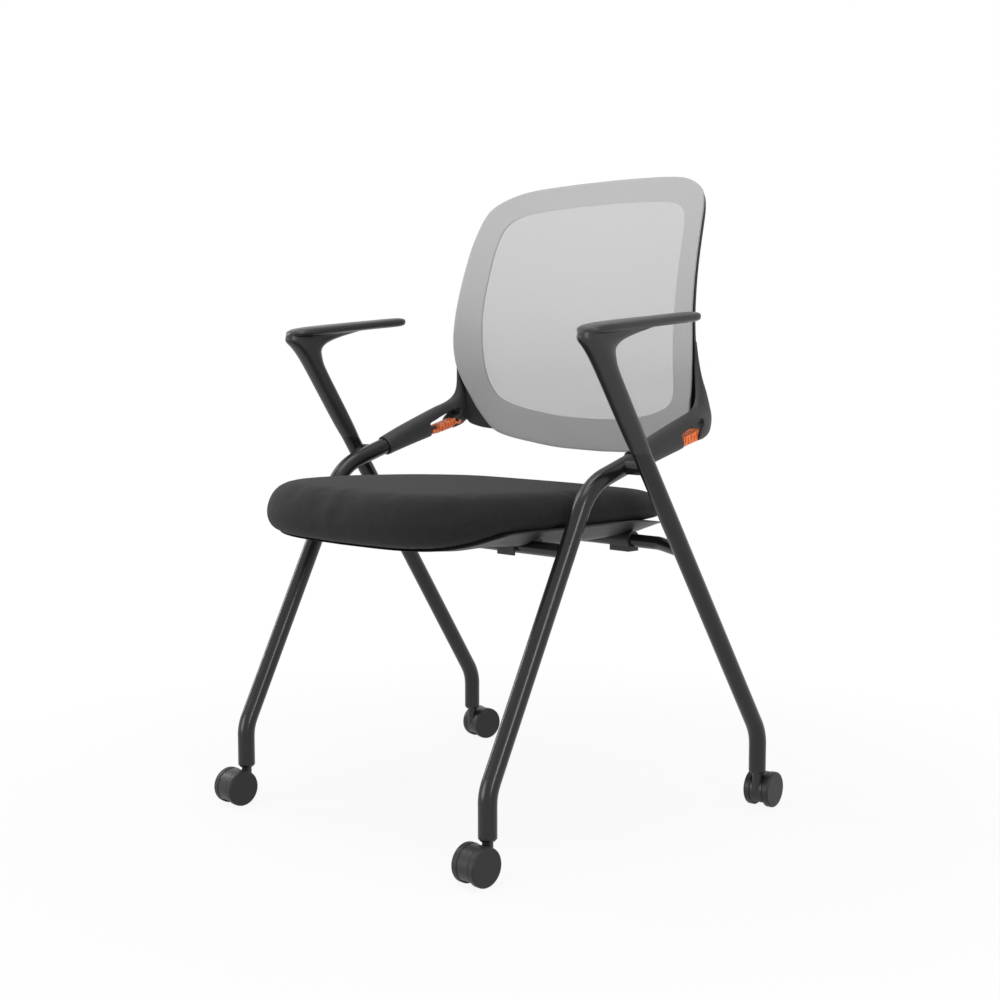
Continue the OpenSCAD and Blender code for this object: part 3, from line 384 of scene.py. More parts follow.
def seat_cloth(name, tone, pitch=0.0014):
    cloth = Finish(name, roughness=0.86, sheen_weight=0.06, sheen_roughness=0.5, specular_ior_level=0.2)
    where = cloth.node("ShaderNodeSeparateXYZ", {"Vector": cloth.place.outputs["Object"]})
    surface = cloth.node("ShaderNodeNewGeometry")
    facing = cloth.node("ShaderNodeSeparateXYZ", {"Vector": surface.outputs["Normal"]})
    x, y, z = (where.outputs[k] for k in "XYZ")
    top = weave_height(cloth, x, y, pitch)
    front = weave_height(cloth, x, z, pitch)
    side = weave_height(cloth, y, z, pitch)
    up = cloth.math("POWER", cloth.math("ABSOLUTE", facing.outputs["Z"]), 4)
    fore = cloth.math("POWER", cloth.math("ABSOLUTE", facing.outputs["Y"]), 4)
    across = cloth.math("POWER", cloth.math("ABSOLUTE", facing.outputs["X"]), 4)
    total = cloth.math("ADD", cloth.math("ADD", up, fore), across)
    mixed = cloth.math(
        "DIVIDE",
        cloth.math("ADD", cloth.math("ADD", cloth.math("MULTIPLY", top, up),
                                     cloth.math("MULTIPLY", front, fore)),
                   cloth.math("MULTIPLY", side, across)),
        total
    )
    fibre = cloth.grain(0.0005, detail=3, rough=0.7)
    slub = cloth.grain(0.012, detail=4, rough=0.6)
    tone_mix = cloth.math("ADD", cloth.math("MULTIPLY", mixed, 0.6), cloth.math("MULTIPLY", slub, 0.5))
    weave = cloth.relief(mixed, 0.00022, 0.7)
    cloth.wire(
        base_color=cloth.two_tone(cloth.ranged(tone_mix, 0, 1, 0.2, 0.9),
                                  seen_colour(tone - 12, tone - 12, tone - 12),
                                  seen_colour(tone + 9, tone + 9, tone + 9)),
        normal=cloth.relief(fibre, 0.00008, 0.5, under=weave),
    )
    return cloth.material


seat_weave = seat_cloth("woven_seat_cloth", 27)

# %% [markdown]
# ### Knit of the backrest
# The back is a stretched warp knit: fine upright wales with small openings between
# them, through which the white room shows. Over the carrier it is drawn as closed
# cloth, because grey plastic fills its openings there.


# %% Knit
def knit_cloth(name, colour, air):
    """Upright wales of stitches, with a hole wherever the pattern falls below air"""
    knit = Finish(name, roughness=0.72, sheen_weight=0.1)
    flat = knit.node("ShaderNodeSeparateXYZ", {"Vector": knit.place.outputs["UV"]})
    across, along = flat.outputs["X"], flat.outputs["Y"]
    wale = knit.math("SINE", knit.math("MULTIPLY", across, 2 * math.pi / 0.00115))
    row = knit.math("SINE", knit.math("ADD", knit.math("MULTIPLY", along, 2 * math.pi / 0.0013),
                                      knit.math("MULTIPLY", wale, 0.9)))
    rib = knit.math("SINE", knit.math("MULTIPLY", across, 2 * math.pi / 0.0062))
    wear = knit.grain(0.004, detail=3)
    tint = knit.math("ADD", knit.math("MULTIPLY", knit.ranged(wale, 0, 1, -1, 1), 0.35),
                     knit.math("ADD", knit.math("MULTIPLY", knit.ranged(rib, 0, 1, -1, 1), 0.15),
                               knit.math("MULTIPLY", wear, 0.3)))
    knit.wire(
        base_color=knit.two_tone(tint, seen_colour(*(c - 5 for c in colour)),
                                 seen_colour(*(c + 5 for c in colour))),
        normal=knit.relief(knit.ranged(wale, 0, 1, -1, 1), 0.00025, 0.5),
    )
    if air:
        cell = knit.math("MULTIPLY", knit.ranged(wale, 0, 1, -1, 1), knit.ranged(row, 0, 1, -1, 1))
        hole = knit.ranged(cell, 1, 0, air - 0.05, air + 0.05)
        knit.wire(alpha=knit.math("SUBTRACT", 1, hole))
    return knit.material


back_knit = knit_cloth("grey_back_knit", (157, 157, 157), 0.045)
hem_knit = knit_cloth("grey_knit_border", (168, 168, 168), 0)

# %% [markdown]
# ## Finishes on the carried-over parts
# The rigid parts that are right as they are keep their meshes. Each gets its finish
# by the words in its name.

# %% Give each part its finish
part_finishes = [
    ("leg_spacer", leg_coat), ("front_leg", leg_coat), ("rear_leg", leg_coat), ("crossbar", leg_coat),
    ("armrest", arm_plastic), ("back_sleeve", black_plastic), ("back_frame", black_plastic),
    ("caster_socket", caster_plastic), ("caster_hood", caster_plastic), ("wheel", nylon),
    ("caster_stem", zinc), ("caster_axle", zinc), ("screws", zinc), ("seat_cushion", seat_weave),
    ("seat_board", plywood), ("seat_shell", black_plastic), ("pivot_clip", black_plastic),
    ("seat_rest", black_plastic), ("mesh_carrier", carrier_plastic), ("mesh_panel", back_knit),
    ("flex_spring", orange_plastic),
]
for part_name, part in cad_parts.items():
    finish = next(f for words, f in part_finishes if words in part_name)
    part.data.materials.clear()
    part.data.materials.append(finish)
print("finishes given to", len(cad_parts), "parts")

# %% [markdown]
# ## Shared helpers for new pieces
# A long moulding is drawn as a row of rings. The first ring is a bmesh circle; each
# next one is extruded from the last and set to its own outline, which is how one
# would draw it by hand with Extrude and Scale.


# %% Rings to a skin
def skin_of_rings(rings, looped=False):
    form = bmesh.new()
    order = form.verts.layers.int.new("order")
    row = bmesh.ops.create_circle(form, segments=len(rings[0]), radius=1)["verts"]
    for i, corner in enumerate(row):
        corner[order] = i
        corner.co = rings[0][i]
    edges = list(form.edges)
    if not looped:
        bmesh.ops.contextual_create(form, geom=edges)
    for ring in rings[1:] + (rings[:1] if looped else []):
        grown = bmesh.ops.extrude_edge_only(form, edges=edges)["geom"]
        row = {g for g in grown if isinstance(g, bmesh.types.BMVert)}
        edges = [g for g in grown if isinstance(g, bmesh.types.BMEdge) and row.issuperset(g.verts)]
        for corner in row:
            corner.co = ring[corner[order]]
    if looped:
        bmesh.ops.remove_doubles(form, verts=form.verts, dist=1e-6)
    else:
        bmesh.ops.contextual_create(form, geom=edges)
    bmesh.ops.recalc_face_normals(form, faces=form.faces)
    return form


def piece_from(form, name, finish):
    """Turns a bmesh into a smooth-shaded object"""
    mesh = bpy.data.meshes.new(name)
    form.to_mesh(mesh)
    form.free()
    mesh.shade_smooth()
    mesh.materials.append(finish)
    piece = bpy.data.objects.new(name, mesh)
    scene.collection.objects.link(piece)
    return piece


def made_solid(piece):
    """Applies the piece's modifiers, so that the shape is in its mesh"""
    ready = piece.evaluated_get(bpy.context.evaluated_depsgraph_get())
    mesh = bpy.data.meshes.new_from_object(ready)
    old = piece.data
    piece.modifiers.clear()
    piece.data = mesh
    bpy.data.meshes.remove(old)
    mesh.name = piece.name
    mesh.shade_smooth()
    return piece


def rounded(a, b, share):
    return a + (b - a) * share


def smooth_path(points, steps):
    """Points on a curve through the given ones, steps to each stretch"""
    line = []
    for i in range(len(points) - 1):
        a, b = points[max(i - 1, 0)], points[i]
        c, d = points[i + 1], points[min(i + 2, len(points) - 1)]
        for s in range(steps):
            t = s / steps
            line.append([
                (2 * b[k] + (c[k] - a[k]) * t + (2 * a[k] - 5 * b[k] + 4 * c[k] - d[k]) * t * t
                 + (3 * b[k] - a[k] - 3 * c[k] + d[k]) * t ** 3) / 2
                for k in range(len(b))
            ])
    return line + [list(points[-1])]


def both_halves(half):
    """A loop from its half, mirrored in x"""
    return half + [[-p[0]] + list(p[1:]) for p in half[-2:0:-1]]


def read_table(rows, x, column=1):
    """Straight lines between the rows of a table"""
    i = 0
    while i < len(rows) - 2 and x >= rows[i + 1][0]:
        i += 1
    t = (x - rows[i][0]) / (rows[i + 1][0] - rows[i][0])
    return rows[i][column] + (rows[i + 1][column] - rows[i][column]) * t


def squared_loop(half_x, half_y, power, count):
    """A loop between an ellipse, power 2, and a rectangle"""
    loop = []
    for i in range(count):
        c, s = math.cos(2 * math.pi * i / count), math.sin(2 * math.pi * i / count)
        loop.append((half_x * math.copysign(abs(c) ** (2 / power), c),
                     half_y * math.copysign(abs(s) ** (2 / power), s)))
    return loop


def mirrored_copy(piece, name):
    """The same piece for the other side of the chair"""
    form = bmesh.new()
    form.from_mesh(piece.data)
    bmesh.ops.scale(form, vec=(-1, 1, 1), verts=form.verts)
    bmesh.ops.reverse_faces(form, faces=form.faces)
    return piece_from(form, name, piece.data.materials[0])


def melted(pieces, name, finish, cell, rounds):
    """Joins closed solids into one skin, as the mould does, and softens its edges"""
    bpy.ops.object.select_all(action="DESELECT")
    for piece in pieces:
        piece.select_set(True)
    bpy.context.view_layer.objects.active = pieces[0]
    if len(pieces) > 1:
        bpy.ops.object.join()
    whole = pieces[0]
    whole.name = name
    remesh = whole.modifiers.new("one_skin", "REMESH")
    remesh.mode = "VOXEL"
    remesh.voxel_size = cell
    remesh.use_smooth_shade = True
    ease = whole.modifiers.new("eased", "SMOOTH")
    ease.factor = 0.5
    ease.iterations = rounds
    made_solid(whole)
    whole.data.materials.clear()
    whole.data.materials.append(finish)
    return whole


# %% [markdown]
# ## The backrest's surface
# Seen from the side the panel curves in at the small of the back and leans away above
# it. Seen from the top it wraps round the sitter. One function gives that surface,
# and the knit, its carrier and the black frame are all laid on it.

# %% Panel surface
PANEL_HALF, PANEL_LOW, PANEL_RISE = 0.235, 0.500, 0.394
PANEL_Y, PANEL_LEAN, PANEL_DISH = 0.205, 0.057, 0.050
lean_curve = smooth_path([
    (0, 0.54), (0.08, 0.41), (0.15, 0.28), (0.2, 0.2), (0.25, 0.115), (0.31, 0.035), (0.4, 0),
    (0.5, 0.03), (0.62, 0.17), (0.75, 0.4), (0.85, 0.64), (0.92, 0.815), (1, 1)
], 12)


def panel_depth(x, z):
    share = (z - PANEL_LOW) / PANEL_RISE
    return PANEL_Y + PANEL_LEAN * read_table(lean_curve, share) - PANEL_DISH * (x / PANEL_HALF) ** 2


def on_panel(x, z, behind):
    return Vector((x, panel_depth(x, z) + behind, z))


def panel_loop(rows, steps):
    return both_halves([(p[0] * PANEL_HALF, PANEL_LOW + p[1] * PANEL_RISE) for p in smooth_path(rows, steps)])


panel_rows = [
    (0, -0.024), (0.34, -0.017), (0.58, 0.004), (0.74, 0.026), (0.825, 0.055), (0.89, 0.118), (0.93, 0.176),
    (0.968, 0.24), (0.997, 0.315), (1.006, 0.4), (0.995, 0.51), (0.975, 0.65), (0.95, 0.79), (0.91, 0.892),
    (0.83, 0.942), (0.65, 0.981), (0.34, 0.998), (0, 1.003)
]
panel_edge = panel_loop(panel_rows, 6)
panel_middle = (0, PANEL_LOW + PANEL_RISE * 0.48)


def pulled_in(p, reach):
    away = Vector((p[0] - panel_middle[0], p[1] - panel_middle[1]))
    away -= away.normalized() * reach
    return away[0] + panel_middle[0], away[1] + panel_middle[1]


print("panel edge has", len(panel_edge), "points, at depth", round(panel_depth(0, 0.7), 3))

# %% [markdown]
# ## The open window of the carrier
# The knit is held round its edge by a plastic ring. The ring is wide at the lower
# corners and narrow along the top, so its inner edge is a curve of its own.

# %% Window of the carrier
window_rows = [
    (0, 0.102), (0.27, 0.107), (0.46, 0.123), (0.58, 0.139), (0.67, 0.157), (0.73, 0.178), (0.765, 0.207),
    (0.786, 0.245), (0.802, 0.31), (0.81, 0.4), (0.813, 0.51), (0.802, 0.64), (0.787, 0.76), (0.755, 0.838),
    (0.675, 0.878), (0.53, 0.897), (0.28, 0.908), (0, 0.912)
]
window_edge = panel_loop(window_rows, 6)

# %% Mesh carrier
CARRIER_IN, CARRIER_FOLD, CARRIER_LIP = 0.0024, 0.004, 0.007
carrier_rings = []
for edge, inner in zip(panel_edge, window_edge):
    outer = pulled_in(edge, CARRIER_IN)
    lip = pulled_in(inner, -CARRIER_LIP)
    back = pulled_in(outer, CARRIER_FOLD)
    carrier_rings.append([
        on_panel(*outer, 0.0024), on_panel(*pulled_in(outer, 0.001), 0.0016),
        on_panel(*pulled_in(inner, -0.001), 0.0016), on_panel(*inner, 0.0022),
        on_panel(*inner, 0.0028), on_panel(*lip, 0.0056),
        on_panel(*back, 0.0057), on_panel(*outer, 0.0042),
    ])
carrier = piece_from(skin_of_rings(carrier_rings, looped=True), "knit_carrier", carrier_plastic)
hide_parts("mesh_carrier")
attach(carrier, "backrest")
print("carrier faces:", len(carrier.data.polygons))

# %% [markdown]
# ## The knit sheet
# The knit is cut as one rounded sheet, stretched over the carrier and folded round
# its edge. It starts as a flat grid of rings from the middle to the edge, gets its
# place on the panel's surface, and turns back in the last few millimetres. Its UV map
# holds real metres, so that the wales keep their width.


# %% Knit sheet
middle_shares, border_shares = [0.02, 0.2, 0.4, 0.58, 0.74, 0.88, 1], [0.25, 0.5, 0.75, 0.92]


def knit_rings():
    rings = [
        [on_panel(*(rounded(panel_middle[k], w[k], s) for k in (0, 1)), 0) for w in window_edge]
        for s in middle_shares
    ]
    for s in border_shares:
        rings.append([
            on_panel(rounded(w[0], p[0], s), rounded(w[1], p[1], s), 0)
            for w, p in zip(window_edge, panel_edge)
        ])
    for inset, behind in ((0.0004, 0.0003), (0.0002, 0.0014), (0.0006, 0.0032), (0.0018, 0.0050)):
        rings.append([on_panel(*pulled_in(p, inset), behind) for p in panel_edge])
    return rings


CURVE_LENGTH, LEAN_LENGTH, LEAN_FROM = 1.03, 0.2, 0.16


def laid_out(piece):
    """UV map in metres: x across the chair and length up the panel's curve"""
    layer = piece.data.uv_layers.new(name="knit_metres")
    for loop in piece.data.loops:
        x, y, z = piece.data.vertices[loop.vertex_index].co
        layer.data[loop.index].uv = (x, z * CURVE_LENGTH + (y - LEAN_FROM) * LEAN_LENGTH)


knit = piece_from(skin_of_rings(knit_rings()), "back_knit", back_knit)
form = bmesh.new()
form.from_mesh(knit.data)
caps = sorted((f for f in form.faces if len(f.verts) > 8), key=lambda f: f.calc_area())
bmesh.ops.delete(form, geom=caps[-1:], context="FACES_ONLY")
bmesh.ops.recalc_face_normals(form, faces=form.faces)
form.to_mesh(knit.data)
form.free()
knit.data.shade_smooth()
laid_out(knit)
knit.data.materials.append(hem_knit)
open_faces = 1 + (len(middle_shares) - 1) * len(window_edge)
for face in knit.data.polygons:
    face.material_index = 0 if face.index < open_faces else 1
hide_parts("mesh_panel")
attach(knit, "backrest")

# %% [markdown]
# ## The black back frame
# One long plastic moulding runs from the sleeve on each leg tube through a flexing
# knuckle into the ring behind the knit. It is drawn as a ring and two brackets. The
# ring stands off from the carrier where the brackets join it, and is wider at the
# lower corners. The slot that holds the orange spring is cut out of each bracket, and
# all is melted into one skin, which rounds the joints as the mould does.

# %% Ring behind the carrier
frame_rows = [
    (0, -0.012), (0.34, -0.006), (0.6, 0.018), (0.8, 0.044), (0.95, 0.058), (1.025, 0.088), (1.02, 0.18),
    (1.018, 0.3), (1.01, 0.4), (0.995, 0.51), (0.97, 0.65), (0.945, 0.79), (0.903, 0.88), (0.82, 0.93),
    (0.65, 0.971), (0.34, 0.988), (0, 0.993)
]
frame_edge = panel_loop(frame_rows, 6)
stand_rows = smooth_path([
    (0, 0.3), (0.08, 0.8), (0.15, 1), (0.24, 0.8), (0.3, 0.5), (0.37, 0.2), (0.46, 0), (1, 0)
], 4)
corner_rows = [(0, 0.2), (0.08, 1), (0.24, 1), (0.36, 0), (1, 0)]
RIM_CLOSE, RIM_STAND_OFF, RIM_THICK = 0.0065, 0.006, 0.008
RIM_WIDE, CORNER_WIDER, RIM_SOFT = 0.026, 0.018, 0.001
rim_rings = []
for p in frame_edge:
    share = (p[1] - PANEL_LOW) / PANEL_RISE
    front = RIM_CLOSE + RIM_STAND_OFF * read_table(stand_rows, share)
    inner = pulled_in(p, RIM_WIDE + CORNER_WIDER * read_table(corner_rows, share))
    rim_rings.append([
        on_panel(*p, front + RIM_SOFT * 0.8), on_panel(*pulled_in(p, RIM_SOFT), front),
        on_panel(*pulled_in(inner, -RIM_SOFT), RIM_CLOSE), on_panel(*inner, RIM_CLOSE + RIM_SOFT),
        on_panel(*inner, front + RIM_THICK * 0.7),
        on_panel(*pulled_in(inner, -RIM_THICK / 2), front + RIM_THICK),
        on_panel(*pulled_in(p, RIM_THICK), front + RIM_THICK), on_panel(*p, front + RIM_THICK * 0.45),
    ])
rim = piece_from(skin_of_rings(rim_rings, looped=True), "rim", black_plastic)

# %% Bracket
RUN = math.radians(18)
run_way = Vector((0, math.cos(RUN), math.sin(RUN)))
run_up = Vector((0, -math.sin(RUN), math.cos(RUN)))
MOUTH = Vector((0, -0.0625, 0.471)) + 0.088 * run_way
SLEEVE = 0.125
DEEP = 0.042
LEG_X = 0.247
BRACKET = 0.027


def bracket_point(along, above):
    return MOUTH + SLEEVE * along * run_way + DEEP * above * run_up


bracket_rows = [
    [0, 0.3524, 0, -0.3524, 0.548, 0, 2], [0.3, 0.423, 0.3, -0.375, 0.53, 0, 2.2],
    [0.679, 0.473, 0.683, -0.426, 0.505, 0, 2.5], [0.95, 0.503, 0.969, -0.491, 0.49, 0, 2.4],
    [1.098, 0.515, 1.152, -0.53, 0.467, 0.038, 2.1], [1.179, 0.565, 1.288, -0.512, 0.413, 0.117, 2],
    [1.243, 0.67, 1.385, -0.354, 0.335, 0.205, 2], [1.285, 0.807, 1.445, -0.101, 0.279, 0.261, 2],
    [1.313, 0.979, 1.465, 0.256, 0.233, 0.307, 2], [1.338, 1.205, 1.469, 0.714, 0.191, 0.339, 2],
    [1.367, 1.503, 1.451, 1.247, 0.168, 0.372, 2], [1.408, 1.938, 1.454, 1.818, 0.144, 0.396, 2],
    [1.456, 2.5, 1.49, 2.46, 0.11, 0.43, 2]
]
bracket_rings = []
for row in smooth_path(bracket_rows, 6):
    upper, lower = bracket_point(row[0], row[1]), bracket_point(row[2], row[3])
    middle, reach = (upper + lower) / 2, (upper - lower) / 2
    bracket_rings.append([
        Vector((LEG_X - BRACKET * row[5] + p[0], 0, 0)) + middle + reach * p[1]
        for p in squared_loop(BRACKET * row[4], 1, row[6], 48)
    ])
bracket = piece_from(skin_of_rings(bracket_rings), "bracket", black_plastic)

# %% [markdown]
# The slot is cut with blocks drawn from its side outline: a long one from the inner
# side, and a shorter one through the outer skin, which covers the spring's rear end.
# A tongue stands in the slot's front wall over the spring's front bead, and a keyhole
# open on the inner face takes the bead at the rear. The sleeve is bored for the tube.


# %% Slot, bore and tongue
INNER_X = LEG_X - BRACKET * 0.44
SPRING_W = 0.018
SKIN_X = INNER_X + SPRING_W + 0.0003


def side_block(outline, from_x, to_x, name):
    """An outline in the side plane, drawn out across the bracket"""
    form = bmesh.new()
    corners = [form.verts.new((from_x, p[0], p[1])) for p in outline]
    bmesh.ops.contextual_create(form, geom=corners)
    grown = bmesh.ops.extrude_face_region(form, geom=list(form.faces))["geom"]
    bmesh.ops.translate(form, vec=(to_x - from_x, 0, 0),
                        verts=[g for g in grown if isinstance(g, bmesh.types.BMVert)])
    bmesh.ops.recalc_face_normals(form, faces=form.faces)
    return piece_from(form, name, black_plastic)


def side_disc(middle, radius, from_x, to_x, name):
    form = bmesh.new()
    bmesh.ops.create_cone(form, cap_ends=True, segments=48, radius1=radius, radius2=radius,
                          depth=to_x - from_x)
    bmesh.ops.rotate(form, verts=form.verts, cent=(0, 0, 0), matrix=Matrix.Rotation(math.pi / 2, 3, "Y"))
    bmesh.ops.translate(form, verts=form.verts, vec=((from_x + to_x) / 2, middle[0], middle[1]))
    return piece_from(form, name, black_plastic)


def yz(point):
    return point.y, point.z


hinge = bracket_point(1.131, 0.354)
tongue = bracket_point(0.803, -0.182)
bead = bracket_point(1.204, -0.357)
over_run = RUN + math.radians(97)
under_hinge = hinge - 0.0063 * Vector((0, math.cos(over_run), math.sin(over_run)))
slot_points = [yz(p) for p in (
    bracket_point(0.7, -0.735), bracket_point(0.72, -0.387), bracket_point(0.708, 0.039),
    bracket_point(0.716, 0.107), under_hinge, bracket_point(1.168, 0.155), bracket_point(1.213, 0.188),
    bracket_point(1.245, 0.131), bracket_point(1.241, 0.021), bracket_point(1.196, -0.086),
    bracket_point(1.166, -0.205), bracket_point(1.092, -0.887)
)]
skin_slot_points = [yz(p) for p in (
    bracket_point(0.79, -0.735), bracket_point(0.768, -0.298), bracket_point(0.735, 0.015),
    bracket_point(0.745, 0.098), under_hinge, bracket_point(1.155, 0.179), bracket_point(1.176, 0.113),
    bracket_point(1.15, -0.024), bracket_point(1.104, -0.077), bracket_point(1.082, -0.134),
    bracket_point(1.057, -0.238), bracket_point(1, -0.735)
)]
spring_way = (bead - tongue).normalized()
spring_span = (bead - tongue).length
spring_tilt = math.atan2(spring_way.z, spring_way.y)


def on_spring(along, above):
    """A point of the side plane, from the tongue towards the bead"""
    c, s = math.cos(spring_tilt), math.sin(spring_tilt)
    return tongue.y + along * c - above * s, tongue.z + along * s + above * c


def cut_away(piece, tool, operation="DIFFERENCE"):
    cut = piece.modifiers.new("cut", "BOOLEAN")
    cut.operation = operation
    cut.object = tool
    cut.solver = "EXACT"
    made_solid(piece)
    bpy.data.objects.remove(tool)


def flat_block(from_along, to_along, low, high, from_x, to_x, name):
    """A block that lies along the spring"""
    return side_block([on_spring(from_along, low), on_spring(to_along, low), on_spring(to_along, high),
                       on_spring(from_along, high)], from_x, to_x, name)


uncut = bracket.data.copy()
cut_away(bracket, side_block(slot_points, SKIN_X - 0.054, SKIN_X, "slot"))
cut_away(bracket, side_block(skin_slot_points, SKIN_X - 0.001, SKIN_X + 0.05, "skin_slot"))
BEAD_X = INNER_X + SPRING_W * 0.45
cut_away(bracket, side_disc(yz(bead), 0.0041, BEAD_X - 0.05, BEAD_X + 0.0003, "bead_hole"))
cut_away(bracket, flat_block(spring_span - 0.0099, spring_span, -0.002, 0.002, BEAD_X - 0.05, BEAD_X + 0.0003,
                             "bead_mouth"))
BORE_R, BORE_LONG, BORE_END = 0.0121, 0.11, 0.0622
bore = bmesh.new()
bmesh.ops.create_cone(bore, cap_ends=True, segments=64, radius1=BORE_R, radius2=BORE_R, depth=BORE_LONG)
bmesh.ops.rotate(bore, verts=bore.verts, cent=(0, 0, 0), matrix=Matrix.Rotation(RUN - math.pi / 2, 3, "X"))
bmesh.ops.translate(bore, verts=bore.verts,
                    vec=Vector((LEG_X, 0, 0)) + MOUTH + run_way * (BORE_END - BORE_LONG / 2))
cut_away(bracket, piece_from(bore, "tube_bore", black_plastic))
tongue_tip = side_disc(on_spring(-0.002, 0.0016), 0.002, INNER_X + 0.0006, INNER_X + SPRING_W, "tongue_tip")
tongue_root = flat_block(-0.016, -0.002, -0.0004, 0.0036, INNER_X + 0.0006, INNER_X + SPRING_W, "tongue_root")
print("bracket vertices:", len(bracket.data.vertices))

# %% One moulding
moulded = [bracket, tongue_tip, tongue_root]
other_side = [mirrored_copy(p, p.name + "_right") for p in moulded]
back_moulding = melted([rim] + moulded + other_side, "back_moulding", black_plastic, cell=0.001, rounds=5)
MOULDING_TRIANGLES = 180000
fewer = back_moulding.modifiers.new("fewer", "DECIMATE")
fewer.ratio = min(1, MOULDING_TRIANGLES / sum(len(p.vertices) - 2 for p in back_moulding.data.polygons))
made_solid(back_moulding)
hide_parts("back_frame", "back_sleeve_left", "back_sleeve_right")
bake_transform(back_moulding)
print("back moulding triangles:", sum(len(p.vertices) - 2 for p in back_moulding.data.polygons))

# %% [markdown]
# ## The orange springs
# Each spring is a block folded like an accordion. Slits from above and below leave a
# zigzag of thin walls that can squeeze and open. Its front bead lies under the tongue,
# its rear bead sits in the keyhole, and it ends flush with the bracket's skin.


# %% Folded spring
SPRING_H, NECK_HALF, FRONT_DROP, FRONT_BEAD_R, REAR_BEAD_R = 0.015, 0.00171, 0.0048, 0.0034, 0.0038
SLITS, SLIT_HALF, PAST = 6, 0.03, 0.002


def folded_spring(name):
    corners = [(0.05, 0.27), (0.81, 0.53), (0.79, -0.4), (0.03, -0.58)]
    block = [(a * spring_span, b * SPRING_H) for a, b in corners]

    def in_block(along, up):
        low = [rounded(block[3][k], block[2][k], along) for k in (0, 1)]
        high = [rounded(block[0][k], block[1][k], along) for k in (0, 1)]
        return on_spring(*(rounded(low[k], high[k], up) for k in (0, 1)))

    far_x, reach = INNER_X + SPRING_W, 0.1 * spring_span
    parts = [
        side_block([on_spring(*p) for p in block], INNER_X, far_x, name),
        flat_block(-reach, reach, -FRONT_DROP - NECK_HALF, -FRONT_DROP + NECK_HALF, INNER_X, far_x,
                   "front_neck"),
        side_disc(on_spring(-reach, -FRONT_DROP), FRONT_BEAD_R, INNER_X, far_x, "front_bead"),
        flat_block(0.7 * spring_span, spring_span, -NECK_HALF, NECK_HALF, INNER_X, BEAD_X, "rear_neck"),
        side_disc(yz(bead), REAR_BEAD_R, INNER_X, BEAD_X, "rear_bead"),
    ]
    spring = melted(parts, name, orange_plastic, cell=0.0004, rounds=2)
    for i in range(SLITS):
        middle = (i + 0.5) / SLITS
        low, high = (0.28, 1.2) if i % 2 == 0 else (-0.2, 0.72)
        slit = side_block([in_block(middle - SLIT_HALF, low), in_block(middle + SLIT_HALF, low),
                           in_block(middle + SLIT_HALF, high), in_block(middle - SLIT_HALF, high)],
                          INNER_X - PAST, far_x + PAST, "slit")
        cut_away(spring, slit)
    flush = bpy.data.objects.new("flush", uncut.copy())
    scene.collection.objects.link(flush)
    cut_away(spring, flush, "INTERSECT")
    return melted([spring], name, orange_plastic, cell=0.0004, rounds=3)


springs = [folded_spring("flex_spring_pad_left")]
springs.append(mirrored_copy(springs[0], "flex_spring_pad_right"))
for spring, node_name in zip(springs, ("flex_spring_left", "flex_spring_right")):
    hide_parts(node_name)
    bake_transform(spring)
print("spring faces:", len(springs[0].data.polygons))

# %% [markdown]
# ## The armrests
# An armrest is one moulding: a soft-edged pad on top, a neck that flares under it, and
# a sleeve that slips over the leg tube. Pad and neck are drawn as two rows of rings
# and melted together, which leaves the small hollow under the pad's rim.

# %% Armrest
LEAN = math.radians(32.4)
ARM_X, BEND_Y, BEND_Z = 0.290, 0.2455, 0.109


def rear_leg_y(z):
    return BEND_Y - (z - BEND_Z) * math.tan(LEAN)


pad_rows = smooth_path([
    (0, 0.2, 0.42), (0.02, 0.52, 0.24), (0.07, 0.82, 0.08), (0.16, 0.98, 0), (0.3, 1, 0), (0.5, 0.94, 0.06),
    (0.7, 0.84, 0.08), (0.86, 0.76, 0.08), (0.95, 0.68, 0.1), (0.985, 0.5, 0.2), (1, 0.24, 0.42)
], 5)
pad_ends = [(0, 0.5), (0.02, 0.3), (0.07, 0.12), (0.16, 0.03), (0.3, 0), (0.86, 0), (0.95, 0.03),
            (0.985, 0.13), (1, 0.34)]
PAD_T, PAD_LONG, PAD_RISE, PAD_W = 0.015, 0.222, 0.019, 0.045
PAD_FRONT, PAD_TOP = -0.125, 0.675
pad_rings = []
for row in pad_rows:
    share = min(max(row[0], 0), 1)
    top = PAD_TOP + PAD_RISE * share - PAD_T * read_table(pad_ends, share)
    low = PAD_TOP + PAD_RISE * share - PAD_T * (1 - row[2])
    pad_rings.append([
        Vector((ARM_X - p[0], PAD_FRONT + PAD_LONG * share, (top + low) / 2 + p[1]))
        for p in squared_loop(PAD_W / 2 * row[1], (top - low) / 2, 3, 40)
    ])
pad = piece_from(skin_of_rings(pad_rings), "pad", arm_plastic)
neck_rows = [
    [0, 0.073, 0.073, 0.3, 0], [0.3, 0.075, 0.078, 0.31, 0], [0.5, 0.08, 0.1, 0.315, 0.1],
    [0.62, 0.088, 0.122, 0.315, 0.25], [0.71, 0.097, 0.165, 0.31, 0.45], [0.78, 0.107, 0.235, 0.3, 0.65],
    [0.84, 0.113, 0.35, 0.29, 0.8], [0.89, 0.111, 0.5, 0.28, 0.9], [0.94, 0.1, 0.65, 0.26, 1],
    [0.99, 0.086, 0.76, 0.24, 1.05]
]
NECK_LOW, NECK_RISE = 0.6015, 0.066
neck_rings = [
    [Vector((ARM_X + p[0], rear_leg_y(z) + p[1], z)) for p in squared_loop(r, r / math.cos(LEAN), 2, 40)]
    for z, r in ((0.5115, 0.0114), (0.512, 0.0122), (0.53, 0.0132), (0.55, 0.0136))
]
